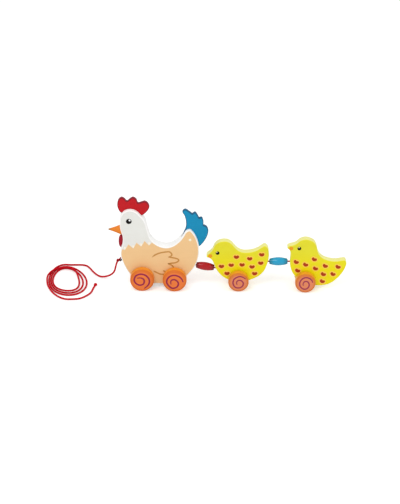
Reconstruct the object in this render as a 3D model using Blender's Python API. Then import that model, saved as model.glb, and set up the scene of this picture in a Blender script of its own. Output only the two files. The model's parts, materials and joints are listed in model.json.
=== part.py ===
"""A wooden pull-along hen with two chicks: rounded boards on dowel axles, joined by cord links through beads.

The toy runs along X and faces -X, with its near side at -Y and its wheels on Z = 0. Lengths are in metres.
"""

import math

import bmesh
import bpy
from mathutils import Matrix, Vector

# Boards
HEN_THICKNESS = 0.018
CHICK_THICKNESS = 0.012
INSERT_THICKNESS = 0.006
WATTLE_THICKNESS = 0.005
BODY_ROUNDOVER = 0.0018
INSERT_ROUNDOVER = 0.0012
OUTLINE_STEP = 0.0042
INSERT_STEP = 0.0026

# Wheels and axles
HEN_WHEEL_RADIUS = 0.0175
CHICK_WHEEL_RADIUS = 0.015
WHEEL_WIDTH = 0.012
WHEEL_ROUNDOVER = 0.0022
WHEEL_SIDE_GAP = 0.001
HEN_WHEELBASE = 0.0475
AXLE_RADIUS = 0.0025
AXLE_SEAT_DEPTH = 0.0085
AXLE_RUNNING_CLEARANCE = 0.0004

# Clearances, and how far a cutter runs past what it cuts
FIT = 0.0003
CORD_HOLE_CLEARANCE = 0.0006
SLOT_OVERRUN = 0.05
HOLE_OVERRUN = 0.006
THROUGH_SHARE = 1.5

# Head pieces. Heights in this group and the next are above the hen's axles.
COMB_SEAT_FRONT = (-0.0563, 0.1010)
COMB_SEAT_REAR = (-0.0248, 0.0962)
BEAK_HEIGHT = 0.0725
BEAK_RADIUS = 0.0077
BEAK_LENGTH = 0.0196
BEAK_SINK = 0.0014
BEAK_TIP_RADIUS = 0.0011
BEAK_SPIGOT_RADIUS = 0.003
BEAK_SPIGOT_LENGTH = 0.008
WATTLE_PROUD = 0.0007
WATTLE_BEAK_GAP = 0.0008
WATTLE_HALF_WIDTH = 0.0045
WATTLE_HALF_HEIGHT = 0.0106

# Tail and its pin
TAIL_PIN_PLACE = (0.0454, 0.0613)
TAIL_PIN_RADIUS = 0.002
TAIL_FRONT_TIP = (-0.0114, -0.0020)
TAIL_REAR_TIP = (0.0196, 0.0004)
TAIL_SLOPE = math.radians(-40.3)
TAIL_SWING = math.radians(18)
TAIL_FOOT_DEPTH = 0.0067
TAIL_HEEL_LENGTH = 0.0155
TAIL_TOE_LENGTH = 0.0088

# Cord links and their beads
CORD_RADIUS = 0.0011
HEN_LINK_HEIGHT = 0.0168
CHICK_CHEST_HOLE_HEIGHT = 0.0145
CHICK_REAR_HOLE_HEIGHT = 0.0265
CHICK_CHEST_HOLE_FALL = math.radians(14)
CORD_HOLE_DEPTH = 0.012
BEAD_LENGTH = 0.0266
BEAD_RADIUS = 0.0062
BEAD_END_RADIUS = 0.0042
BEAD_EDGE_ROUND = 0.0009
BEAD_SWELL_POWER = 0.85
BEAD_FRONT_GAP = 0.0025
BEAD_REAR_GAP = 0.0033
CHICK_2_PITCH = math.radians(25.5)

# Pull cord and its screw eye
EYE_HEIGHT = 0.0225
EYE_RING_RADIUS = 0.0018
EYE_WIRE_RADIUS = 0.0006
EYE_SHANK_RADIUS = 0.0009
EYE_SHANK_LENGTH = 0.012
KNOT_LOOP_RADIUS = 0.0017
KNOT_TUBE_RADIUS = 0.0008
PULL_CORD_RADIUS = 0.0013
LEAD_FALL = math.radians(70)
END_KNOT_RADIUS = 0.0022
END_KNOT_LENGTH = 0.0056
COIL_CENTRE = (-0.1345, 0.002)
COIL_OUTER = (0.0350, 0.0571)
COIL_INNER = (0.0165, 0.0300)
COIL_HEIGHT = 0.0044
COIL_ROUND_SHARE = 0.3

# Outlines as (x, z) from the middle of the body's axles, clockwise from -Y. A third value marks a corner.
CORNER = True
HEN_OUTLINE = [
    (-0.0100, -0.0115, CORNER), (-0.0215, -0.0106), (-0.0350, -0.0043), (-0.0451, 0.0071),
    (-0.0502, 0.0156), (-0.0548, 0.0262), (-0.0568, 0.0365), (-0.0558, 0.0445),
    (-0.0535, 0.0525), (-0.0534, 0.0645), (-0.0559, 0.0750), (-0.0567, 0.0855),
    (-0.0558, 0.0960), (-0.0511, 0.1038), (-0.0425, 0.1073), (-0.0340, 0.1053),
    (-0.0264, 0.0985), (-0.0207, 0.0903), (-0.0164, 0.0761), (-0.0120, 0.0625),
    (-0.0065, 0.0557), (0.0014, 0.0507), (0.0110, 0.0486), (0.0205, 0.0515),
    (0.0278, 0.0573), (0.0328, 0.0632), (0.0362, 0.0687), (0.0395, 0.0745),
    (0.0446, 0.0767), (0.0506, 0.0713), (0.0546, 0.0640), (0.0573, 0.0555),
    (0.0587, 0.0480), (0.0588, 0.0400), (0.0574, 0.0300), (0.0545, 0.0211),
    (0.0497, 0.0124), (0.0434, 0.0044), (0.0340, -0.0050), (0.0215, -0.0106),
    (0.0100, -0.0115, CORNER),
]
CHICK_OUTLINE = [
    (0.0000, -0.0066), (-0.0085, -0.0052), (-0.0155, -0.0020), (-0.0220, 0.0018),
    (-0.0287, 0.0085), (-0.0332, 0.0155), (-0.0366, 0.0240), (-0.0396, 0.0300),
    (-0.0428, 0.0328), (-0.0473, 0.0348), (-0.0462, 0.0384), (-0.0425, 0.0416),
    (-0.0388, 0.0461), (-0.0356, 0.0536), (-0.0304, 0.0586), (-0.0233, 0.0606),
    (-0.0165, 0.0601), (-0.0108, 0.0564), (-0.0058, 0.0505), (-0.0010, 0.0460),
    (0.0045, 0.0435), (0.0120, 0.0431), (0.0201, 0.0446), (0.0268, 0.0474),
    (0.0325, 0.0516), (0.0374, 0.0543), (0.0412, 0.0516), (0.0434, 0.0446),
    (0.0438, 0.0381), (0.0431, 0.0308), (0.0408, 0.0215), (0.0369, 0.0124),
    (0.0307, 0.0054), (0.0230, 0.0005), (0.0150, -0.0030), (0.0078, -0.0056),
]
COMB_TOP_OUTLINE = [
    (-0.0597, 0.1085), (-0.0602, 0.1150), (-0.0584, 0.1210), (-0.0540, 0.1243),
    (-0.0497, 0.1222), (-0.0463, 0.1188), (-0.0427, 0.1217), (-0.0377, 0.1246),
    (-0.0328, 0.1217), (-0.0299, 0.1160), (-0.0257, 0.1172), (-0.0203, 0.1186),
    (-0.0152, 0.1145), (-0.0139, 0.1100), (-0.0154, 0.1060), (-0.0192, 0.1008),
]
TAIL_TOP_OUTLINE = [
    (0.0389, 0.0777), (0.0392, 0.0874), (0.0370, 0.0970), (0.0340, 0.1041),
    (0.0373, 0.1068), (0.0435, 0.1036), (0.0481, 0.0999, CORNER), (0.0519, 0.1024),
    (0.0557, 0.0983), (0.0581, 0.0935, CORNER), (0.0615, 0.0944), (0.0641, 0.0899),
    (0.0645, 0.0820, CORNER), (0.0685, 0.0803), (0.0716, 0.0747), (0.0709, 0.0671),
    (0.0672, 0.0582),
]

# The pull cord's route where it isn't coiled, as (x, y, z) from the floor below the middle of the hen's axles
LEAD_ROUTE = [
    (-0.0617, 0.0002, 0.0344), (-0.0634, 0.0010, 0.0272), (-0.0650, 0.0032, 0.0198),
    (-0.0686, 0.0080, 0.0128), (-0.0738, 0.0130, 0.0070), (-0.0812, 0.0172, 0.0029),
    (-0.0872, 0.0204, 0.0016), (-0.0932, 0.0269, 0.0015), (-0.0989, 0.0365, 0.0015),
    (-0.1046, 0.0480, 0.0015), (-0.1125, 0.0560, 0.0015), (-0.1235, 0.0580, 0.0015),
]
TAIL_ROUTE = [
    (-0.1232, -0.0537, 0.0015), (-0.1145, -0.0500, 0.0015), (-0.1043, -0.0409, 0.0015),
    (-0.0980, -0.0308, 0.0015), (-0.0957, -0.0192, 0.0015), (-0.0933, -0.0094, 0.0016),
]
END_KNOT_PLACE = (-0.0926, -0.0066, 0.0023)
END_KNOT_TURN = math.radians(-55)

# Roundness
WHEEL_SIDES = 32
BEAD_SIDES = 20
BEAD_STEPS = 8
OVAL_SIDES = 20
DOWEL_SIDES = 16
LOOP_SIDES = 16
WIRE_SIDES = 8
CORD_SIDES = 10
COIL_SIDES = 44
CORD_POINT_SPACING = 5 * CORD_RADIUS
SMOOTH_ANGLE = math.radians(38)

# Colours as linear RGB, then roughness
COLOURS = {
    "white_paint": (0.80, 0.80, 0.76, 0.40),
    "red_paint": (0.50, 0.012, 0.022, 0.32),
    "dark_red_paint": (0.30, 0.008, 0.016, 0.35),
    "blue_paint": (0.010, 0.190, 0.480, 0.34),
    "orange_paint": (0.830, 0.190, 0.012, 0.34),
    "yellow_paint": (0.780, 0.660, 0.020, 0.36),
    "red_bead": (0.350, 0.008, 0.020, 0.22),
    "blue_bead": (0.080, 0.330, 0.620, 0.22),
    "bare_wood": (0.620, 0.420, 0.220, 0.60),
    "red_cord": (0.420, 0.010, 0.020, 0.75),
    "dark_steel": (0.040, 0.035, 0.035, 0.35),
}
METALLIC = {"dark_steel": 0.9}


# Shared shapes

def material_for(node, colour):
    """A node's own painted material."""
    made = bpy.data.materials.new(node)
    made.use_nodes = True
    shader = made.node_tree.nodes["Principled BSDF"]
    shader.inputs["Base Color"].default_value = (*COLOURS[colour][:3], 1)
    shader.inputs["Roughness"].default_value = COLOURS[colour][3]
    shader.inputs["Metallic"].default_value = METALLIC.get(colour, 0)
    made.diffuse_color = (*COLOURS[colour][:3], 1)
    return made


def empty(name, parent=None, place=(0, 0, 0), pitch=0):
    """A frame that carries a body's pieces. A positive pitch leans its top toward +X, so the beak rises."""
    made = bpy.data.objects.new(name, None)
    made.parent = parent
    made.location = place
    made.rotation_euler = (0, pitch, 0)
    bpy.context.scene.collection.objects.link(made)
    return made


def node(name, mesh, parent, colour, place=(0, 0, 0), axis=None):
    """An object of the toy. Its mesh's Z turns to the axis where one is given."""
    made = bpy.data.objects.new(name, mesh)
    bpy.context.scene.collection.objects.link(made)
    made.parent = parent
    made.location = place
    if axis is not None:
        made.rotation_euler = Vector((0, 0, 1)).rotation_difference(Vector(axis)).to_euler()
    if colour:
        mesh.materials.clear()
        mesh.materials.append(material_for(name, colour))
    return made


def cutter(name, mesh, parent, place=(0, 0, 0), axis=None):
    made = node(name, mesh, parent, None, place, axis)
    made.hide_render = True
    made.display_type = "WIRE"
    return made


def boolean(target, tool, operation="DIFFERENCE"):
    step = target.modifiers.new(tool.name, "BOOLEAN")
    step.operation = operation
    step.solver = "EXACT"
    step.object = tool


def finished(name, shape):
    """A mesh from the bmesh, with its faces outward and its round stretches smooth."""
    bmesh.ops.recalc_face_normals(shape, faces=shape.faces[:])
    mesh = bpy.data.meshes.new(name)
    shape.to_mesh(mesh)
    shape.free()
    mesh.shade_smooth()
    mesh.set_sharp_from_angle(angle=SMOOTH_ANGLE)
    return mesh


def smooth_loop(points, step):
    """A closed smooth curve through the points, as vectors about a step apart. Corners stay sharp."""
    flat = [Vector(point[:2]) for point in points]
    corner = [len(point) > 2 for point in points]
    count = len(points)

    def heading(i):
        before = flat[i] - flat[i - 1]
        after = flat[(i + 1) % count] - flat[i]
        return (before.normalized() * after.length + after.normalized() * before.length).normalized()

    loop = []
    for i in range(count):
        start, end = flat[i], flat[(i + 1) % count]
        chord = end - start
        leave = chord.normalized() if corner[i] else heading(i)
        arrive = chord.normalized() if corner[(i + 1) % count] else heading((i + 1) % count)
        pieces = max(1, round(chord.length / step))
        for k in range(pieces):
            t = k / pieces
            first = start + leave * chord.length / 3
            last = end - arrive * chord.length / 3
            loop.append(
                start * (1 - t) ** 3 + first * 3 * t * (1 - t) ** 2
                + last * 3 * t * t * (1 - t) + end * t ** 3
            )
    return loop


def edge_x(loop, height, front):
    """Where the outline crosses a height, on its front (-X) or rear side."""
    found = []
    for i, end in enumerate(loop):
        start = loop[i - 1]
        if (start.y - height) * (end.y - height) <= 0 and start.y != end.y:
            found.append(start.x + (end.x - start.x) * (height - start.y) / (end.y - start.y))
    return min(found) if front else max(found)


def board_mesh(name, loop, thickness, roundover):
    """A board of this outline with both rims rounded over."""
    shape = bmesh.new()
    rims = []
    for y in (-thickness / 2, thickness / 2):
        corners = [shape.verts.new((point.x, y, point.y)) for point in loop]
        face = shape.faces.new(corners)
        rims += face.edges[:]
    bmesh.ops.bridge_loops(shape, edges=rims)
    bmesh.ops.recalc_face_normals(shape, faces=shape.faces[:])
    if roundover:
        bmesh.ops.bevel(
            shape, geom=rims, offset=roundover, segments=2, profile=0.5,
            affect="EDGES", clamp_overlap=True,
        )
    return finished(name, shape)


def turned_mesh(name, profile, sides, closed=False):
    """A solid turned about Z from (radius, z) points. A closed profile makes a ring."""
    shape = bmesh.new()
    rings = []
    for radius, z in profile:
        if radius == 0:
            rings.append([shape.verts.new((0, 0, z))] * sides)
            continue
        turns = [2 * math.pi * k / sides for k in range(sides)]
        rings.append([shape.verts.new((radius * math.cos(t), radius * math.sin(t), z)) for t in turns])
    pairs = list(zip(rings, rings[1:]))
    if closed:
        pairs.append((rings[-1], rings[0]))
    for low, high in pairs:
        for k in range(sides):
            after = (k + 1) % sides
            corners = []
            for vert in (low[k], low[after], high[after], high[k]):
                if vert not in corners:
                    corners.append(vert)
            shape.faces.new(corners)
    return finished(name, shape)


def quarter(radius_at, z_at, round_radius, start, steps=2):
    """(radius, z) points of a quarter turn about (radius_at, z_at), from the start angle."""
    turns = [start + math.pi / 2 * k / steps for k in range(steps + 1)]
    return [(radius_at + round_radius * math.cos(t), z_at + round_radius * math.sin(t)) for t in turns]


def rod_mesh(name, radius, length, sides, edge=0.0):
    """A rod along Z, centred, with its ends rounded by the edge."""
    half = length / 2
    if not edge:
        return turned_mesh(name, [(0, -half), (radius, -half), (radius, half), (0, half)], sides)
    low = quarter(radius - edge, -half + edge, edge, -math.pi / 2)
    high = quarter(radius - edge, half - edge, edge, 0)
    if radius == edge:
        low[0], high[-1] = (0, -half), (0, half)
        return turned_mesh(name, low + high, sides)
    return turned_mesh(name, [(0, -half)] + low + high + [(0, half)], sides)


def ring_mesh(name, radius, wire):
    turns = [2 * math.pi * k / WIRE_SIDES for k in range(WIRE_SIDES)]
    profile = [(radius + wire * math.cos(t), wire * math.sin(t)) for t in turns]
    return turned_mesh(name, profile, LOOP_SIDES, closed=True)


def box_mesh(name, low, high):
    shape = bmesh.new()
    bmesh.ops.create_cube(shape, size=1)
    low, high = Vector(low), Vector(high)
    size = high - low
    bmesh.ops.scale(shape, vec=size, verts=shape.verts[:])
    bmesh.ops.translate(shape, vec=(low + high) / 2, verts=shape.verts[:])
    return finished(name, shape)


def drill(target, name, radius, mouth, inward, depth):
    """A hole from its mouth inward, open for a little way outside it."""
    inward = Vector(inward).normalized()
    middle = Vector(mouth) + inward * (depth - HOLE_OVERRUN) / 2
    mesh = rod_mesh(name, radius, depth + HOLE_OVERRUN, DOWEL_SIDES)
    boolean(target, cutter(name, mesh, target.parent, middle, inward))


# Wheels

def wheel_mesh(name, radius):
    """A wheel about Z with its outer face at -Z, and a blind bore for the axle in its inner face."""
    edge = WHEEL_ROUNDOVER
    bore = AXLE_RADIUS + FIT
    profile = [(0, 0)]
    profile += quarter(radius - edge, edge, edge, -math.pi / 2)
    profile += quarter(radius - edge, WHEEL_WIDTH - edge, edge, 0)
    seat = WHEEL_WIDTH - AXLE_SEAT_DEPTH
    profile += [(bore, WHEEL_WIDTH), (bore, seat), (0, seat)]
    return turned_mesh(name, profile, WHEEL_SIDES)


def wheelset(name, parent, x, radius, body, thickness):
    """An axle that turns in the body, with a wheel glued on each end."""
    hub = empty(name + "_turns", parent, (x, 0, 0))
    inner_face = thickness / 2 + WHEEL_SIDE_GAP
    length = 2 * (inner_face + AXLE_SEAT_DEPTH - FIT)
    node(name + "_axle", rod_mesh(name, AXLE_RADIUS, length, DOWEL_SIDES), hub, "bare_wood", axis=(0, 1, 0))
    mesh = wheel_mesh(name, radius)
    for side, sign in (("near", -1), ("far", 1)):
        wheel = node(f"{name}_wheel_{side}", mesh.copy(), hub, "orange_paint")
        wheel.location = (0, sign * (inner_face + WHEEL_WIDTH), 0)
        wheel.rotation_euler = (sign * math.pi / 2, 0, 0)
    bore = rod_mesh(name, AXLE_RADIUS + AXLE_RUNNING_CLEARANCE, thickness * THROUGH_SHARE, DOWEL_SIDES)
    boolean(body, cutter(name + "_bore", bore, parent, (x, 0, 0), (0, 1, 0)))


# Hen

def slope_frame(origin, angle):
    """A frame in the board's plane: its X runs along the angle, measured from +X toward +Z."""
    return Matrix.Translation((origin[0], 0, origin[1])) @ Matrix.Rotation(-angle, 4, "Y")


def cut_slot(hen, body, name, floor, frame):
    """An open slot for an insert, with its floor this high in the frame."""
    half = INSERT_THICKNESS / 2 + FIT
    low = (-SLOT_OVERRUN, -half, floor)
    slot = cutter(name, box_mesh(name, low, (SLOT_OVERRUN, half, SLOT_OVERRUN)), hen)
    slot.matrix_local = frame
    boolean(body, slot)


def add_comb(hen, body):
    """The comb's straight underside sits in a saw slot across the top of the head."""
    front, rear = COMB_SEAT_FRONT, COMB_SEAT_REAR
    outline = [(*front, CORNER)] + COMB_TOP_OUTLINE + [(*rear, CORNER)]
    loop = smooth_loop(outline, INSERT_STEP)
    node("hen_comb", board_mesh("hen_comb", loop, INSERT_THICKNESS, INSERT_ROUNDOVER), hen, "red_paint")
    slope = math.atan2(rear[1] - front[1], rear[0] - front[0])
    cut_slot(hen, body, "comb_slot", -FIT, slope_frame(front, slope))


def tail_loop():
    """The tail board's outline. In the slot's frame its heel is level and its toe rises by the swing."""
    frame = slope_frame(TAIL_PIN_PLACE, TAIL_SLOPE)

    def placed(along, up):
        point = frame @ Vector((along, 0, up))
        return (point.x, point.z, CORNER)

    toe_rise = TAIL_TOE_LENGTH * math.tan(TAIL_SWING)
    outline = [placed(*TAIL_FRONT_TIP)] + TAIL_TOP_OUTLINE + [
        placed(*TAIL_REAR_TIP),
        placed(TAIL_HEEL_LENGTH, -TAIL_FOOT_DEPTH),
        placed(0, -TAIL_FOOT_DEPTH),
        placed(-TAIL_TOE_LENGTH, toe_rise - TAIL_FOOT_DEPTH),
    ]
    return smooth_loop(outline, INSERT_STEP)


def add_tail(hen, body):
    """The tail board swings on a dowel pin in an open slot and leans back on its heel."""
    pivot = empty("hen_tail_turns", hen, (TAIL_PIN_PLACE[0], 0, TAIL_PIN_PLACE[1]))
    corner = Vector(TAIL_PIN_PLACE)
    loop = [point - corner for point in tail_loop()]
    mesh = board_mesh("hen_tail", loop, INSERT_THICKNESS, INSERT_ROUNDOVER)
    tail = node("hen_tail", mesh, pivot, "blue_paint")
    hole = rod_mesh("tail_hole", TAIL_PIN_RADIUS + FIT, INSERT_THICKNESS * THROUGH_SHARE, DOWEL_SIDES)
    boolean(tail, cutter("tail_hole", hole, pivot, (0, 0, 0), (0, 1, 0)))
    pin = rod_mesh("hen_tail_pin", TAIL_PIN_RADIUS, HEN_THICKNESS, DOWEL_SIDES)
    node("hen_tail_pin", pin, hen, "bare_wood", pivot.location, (0, 1, 0))
    pin_hole = rod_mesh("pin_hole", TAIL_PIN_RADIUS + FIT, HEN_THICKNESS * THROUGH_SHARE, DOWEL_SIDES)
    boolean(body, cutter("pin_hole", pin_hole, hen, pivot.location, (0, 1, 0)))
    cut_slot(hen, body, "tail_slot", -TAIL_FOOT_DEPTH - FIT, slope_frame(TAIL_PIN_PLACE, TAIL_SLOPE))


def add_beak(hen, body, loop):
    """A turned cone whose base sits in a shallow counterbore, held by its spigot."""
    base = Vector((edge_x(loop, BEAK_HEIGHT, True) + BEAK_SINK, 0, BEAK_HEIGHT))
    tip = BEAK_TIP_RADIUS
    profile = [(0, -BEAK_SPIGOT_LENGTH), (BEAK_SPIGOT_RADIUS, -BEAK_SPIGOT_LENGTH), (BEAK_SPIGOT_RADIUS, 0)]
    profile += [(BEAK_RADIUS, 0)] + quarter(0, BEAK_LENGTH - tip, tip, 0)[:-1] + [(0, BEAK_LENGTH)]
    node("hen_beak", turned_mesh("hen_beak", profile, BEAD_SIDES), hen, "orange_paint", base, (-1, 0, 0))
    hole = BEAK_SPIGOT_RADIUS + FIT
    seat = BEAK_RADIUS + FIT
    bottom, open_to = -BEAK_SPIGOT_LENGTH - FIT, BEAK_SINK + HOLE_OVERRUN
    stepped = [(0, bottom), (hole, bottom), (hole, -FIT), (seat, -FIT), (seat, open_to), (0, open_to)]
    boolean(body, cutter("beak_seat", turned_mesh("beak_seat", stepped, BEAD_SIDES), hen, base, (-1, 0, 0)))


def oval_loop(centre, half_width, half_height):
    turns = [2 * math.pi * k / OVAL_SIDES for k in range(OVAL_SIDES)]
    return [
        Vector((centre[0] + half_width * math.cos(t), centre[1] + half_height * math.sin(t)))
        for t in turns
    ]


def add_wattle(hen, body, body_loop):
    """A long oval board below the beak, let half its width into the throat."""
    height = BEAK_HEIGHT - BEAK_RADIUS - WATTLE_BEAK_GAP - WATTLE_HALF_HEIGHT
    centre = (edge_x(body_loop, height, True) - WATTLE_PROUD, height)
    loop = oval_loop(centre, WATTLE_HALF_WIDTH, WATTLE_HALF_HEIGHT)
    mesh = board_mesh("hen_wattle", loop, WATTLE_THICKNESS, INSERT_ROUNDOVER)
    node("hen_wattle", mesh, hen, "dark_red_paint")
    pocket = oval_loop(centre, WATTLE_HALF_WIDTH + FIT, WATTLE_HALF_HEIGHT + FIT)
    slot = board_mesh("wattle_slot", pocket, WATTLE_THICKNESS + 2 * FIT, 0)
    boolean(body, cutter("wattle_slot", slot, hen))


def add_hen(toy):
    hen = empty("hen", toy, (0, 0, HEN_WHEEL_RADIUS))
    loop = smooth_loop(HEN_OUTLINE, OUTLINE_STEP)
    mesh = board_mesh("hen_body", loop, HEN_THICKNESS, BODY_ROUNDOVER)
    body = node("hen_body", mesh, hen, "white_paint")
    add_comb(hen, body)
    add_tail(hen, body)
    add_beak(hen, body, loop)
    add_wattle(hen, body, loop)
    for name, x in (("hen_front", -HEN_WHEELBASE / 2), ("hen_rear", HEN_WHEELBASE / 2)):
        wheelset(name, hen, x, HEN_WHEEL_RADIUS, body, HEN_THICKNESS)
    return hen, body, loop


# Chicks

def add_chick(toy, number, place, pitch):
    """A chick on one pair of wheels, with its origin at its axle."""
    name = f"chick_{number}"
    chick = empty(name, toy, place, pitch)
    loop = smooth_loop(CHICK_OUTLINE, OUTLINE_STEP)
    mesh = board_mesh(name + "_body", loop, CHICK_THICKNESS, BODY_ROUNDOVER)
    body = node(name + "_body", mesh, chick, "yellow_paint")
    wheelset(name, chick, 0, CHICK_WHEEL_RADIUS, body, CHICK_THICKNESS)
    return chick, body, loop


# Cord links

def bead_mesh(name):
    """A barrel bead along Z, bored for the cord, with softened ends."""
    half = BEAD_LENGTH / 2
    bore = CORD_RADIUS + CORD_HOLE_CLEARANCE
    edge = BEAD_EDGE_ROUND
    swell = []
    for k in range(BEAD_STEPS + 1):
        t = 2 * k / BEAD_STEPS - 1
        share = math.cos(t * math.pi / 2) ** BEAD_SWELL_POWER
        swell.append((BEAD_END_RADIUS + (BEAD_RADIUS - BEAD_END_RADIUS) * share, t * (half - edge)))
    profile = [(bore, -half), (BEAD_END_RADIUS - edge, -half)] + swell
    profile += [(BEAD_END_RADIUS - edge, half), (bore, half)]
    return turned_mesh(name, profile, BEAD_SIDES, closed=True)


def add_link(toy, number, mouth, rear_mouth, colour):
    """A cord from one body through a bead to the next, in pieces that bend at the bead's ends."""
    name = f"link_{number}"
    along = (rear_mouth - mouth).normalized()
    front = mouth + along * BEAD_FRONT_GAP
    rear = front + along * BEAD_LENGTH
    end = CORD_RADIUS + FIT
    stubs = (("front", mouth, front, BEAD_FRONT_GAP), ("rear", rear, rear_mouth, BEAD_REAR_GAP))
    for side, start, stop, gap in stubs:
        mesh = rod_mesh(name, CORD_RADIUS, gap + 2 * CORD_RADIUS, CORD_SIDES, edge=CORD_RADIUS)
        turn = empty(f"{name}_{side}_turns", toy, start)
        node(f"{name}_{side}_cord", mesh, turn, "red_cord", (stop - start) / 2, along)
    turn = empty(f"{name}_bead_turns", toy, front)
    middle = along * BEAD_LENGTH / 2
    core = rod_mesh(name, CORD_RADIUS, BEAD_LENGTH - 2 * end, CORD_SIDES)
    node(f"{name}_core_cord", core, turn, "red_cord", middle, along)
    node(f"{name}_bead", bead_mesh(name), turn, colour, middle, along)


def add_anchor(name, owner, mouth, inward):
    """The cord's end, glued in its hole."""
    start = CORD_RADIUS + FIT
    stop = CORD_HOLE_DEPTH - FIT
    mesh = rod_mesh(name, CORD_RADIUS, stop - start, CORD_SIDES)
    place = mouth + inward * (start + stop) / 2
    node(name, mesh, owner, "red_cord", place, inward)


def cord_hole(body, name, mouth, inward):
    drill(body, name, CORD_RADIUS + CORD_HOLE_CLEARANCE, mouth, inward, CORD_HOLE_DEPTH)


def link_length():
    return BEAD_FRONT_GAP + BEAD_LENGTH + BEAD_REAR_GAP


def link_reach(drop):
    """How far a link reaches along X when its rear end is this much lower."""
    return math.sqrt(link_length() ** 2 - drop ** 2)


def add_train(toy, hen_body, hen_loop):
    """The chicks, each placed by the link that pulls it."""
    chick_loop = smooth_loop(CHICK_OUTLINE, OUTLINE_STEP)
    chest = Vector((edge_x(chick_loop, CHICK_CHEST_HOLE_HEIGHT, True), 0, CHICK_CHEST_HOLE_HEIGHT))
    back = Vector((edge_x(chick_loop, CHICK_REAR_HOLE_HEIGHT, False), 0, CHICK_REAR_HOLE_HEIGHT))
    chest_inward = Vector((math.cos(CHICK_CHEST_HOLE_FALL), 0, math.sin(CHICK_CHEST_HOLE_FALL)))

    mouth = Vector((edge_x(hen_loop, HEN_LINK_HEIGHT, False), 0, HEN_LINK_HEIGHT + HEN_WHEEL_RADIUS))
    local_mouth = mouth - Vector((0, 0, HEN_WHEEL_RADIUS))
    front_empty, front_body = hen_body.parent, hen_body
    chicks = ((1, 0, "red_bead"), (2, CHICK_2_PITCH, "blue_bead"))
    for number, pitch, colour in chicks:
        turn = Matrix.Rotation(pitch, 3, "Y")
        rear_height = CHICK_WHEEL_RADIUS + (turn @ chest).z
        along_x = link_reach(mouth.z - rear_height)
        rear_mouth = Vector((mouth.x + along_x, 0, rear_height))
        axle = rear_mouth - turn @ chest
        chick, body, _ = add_chick(toy, number, axle, pitch)
        add_link(toy, number, mouth, rear_mouth, colour)
        along = (rear_mouth - mouth).normalized()
        cord_hole(front_body, f"link_{number}_front_hole", local_mouth, -along)
        add_anchor(f"link_{number}_front_anchor", front_empty, local_mouth, -along)
        cord_hole(body, f"link_{number}_rear_hole", chest, chest_inward)
        add_anchor(f"link_{number}_rear_anchor", chick, chest, chest_inward)
        mouth, local_mouth = axle + back, back
        front_empty, front_body = chick, body


# Pull cord

def smooth_route(points, step):
    """Points about a step apart on a smooth open curve through the route's own points."""
    route = [Vector(point) for point in points]
    ends = [route[0] * 2 - route[1]] + route + [route[-1] * 2 - route[-2]]
    line = []
    for i in range(1, len(ends) - 2):
        before, start, stop, after = ends[i - 1:i + 3]
        pieces = max(1, round((stop - start).length / step))
        for k in range(pieces):
            t = k / pieces
            line.append(0.5 * (
                2 * start + (stop - before) * t
                + (2 * before - 5 * start + 4 * stop - after) * t * t
                + (3 * start - before - 3 * stop + after) * t ** 3
            ))
    return line + [route[-1]]


def cord_tube(name, parent, route):
    """A plain round cord along the route, with flat ends."""
    line = smooth_route(route, CORD_POINT_SPACING)
    curve = bpy.data.curves.new(name, "CURVE")
    curve.dimensions = "3D"
    curve.bevel_depth = PULL_CORD_RADIUS
    curve.bevel_resolution = 2
    curve.use_fill_caps = True
    spline = curve.splines.new("POLY")
    spline.points.add(len(line) - 1)
    for point, place in zip(spline.points, line):
        point.co = (*place, 1)
    made = bpy.data.objects.new(name, curve)
    made.parent = parent
    bpy.context.scene.collection.objects.link(made)
    curve.materials.append(material_for(name, "red_cord"))


def coil_mesh(name):
    """The outer shape of the loosely coiled loops: a flat oval ring that lies on the floor."""
    shape = bmesh.new()
    soft = COIL_ROUND_SHARE * COIL_HEIGHT
    rings = []
    for k in range(COIL_SIDES):
        t = 2 * math.pi * k / COIL_SIDES
        section = []
        for grow, z in ((0, 0), (soft, 0.5), (0, 1)):
            section.append((COIL_OUTER[0] - soft + grow, COIL_OUTER[1] - soft + grow, z))
        for grow, z in ((0, 1), (-soft, 0.5), (0, 0)):
            section.append((COIL_INNER[0] + soft + grow, COIL_INNER[1] + soft + grow, z))
        rings.append([
            shape.verts.new((a * math.cos(t), b * math.sin(t), z * COIL_HEIGHT)) for a, b, z in section
        ])
    for i, ring in enumerate(rings):
        other = rings[i - 1]
        for k in range(len(ring)):
            shape.faces.new((ring[k - 1], ring[k], other[k], other[k - 1]))
    return finished(name, shape)


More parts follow.
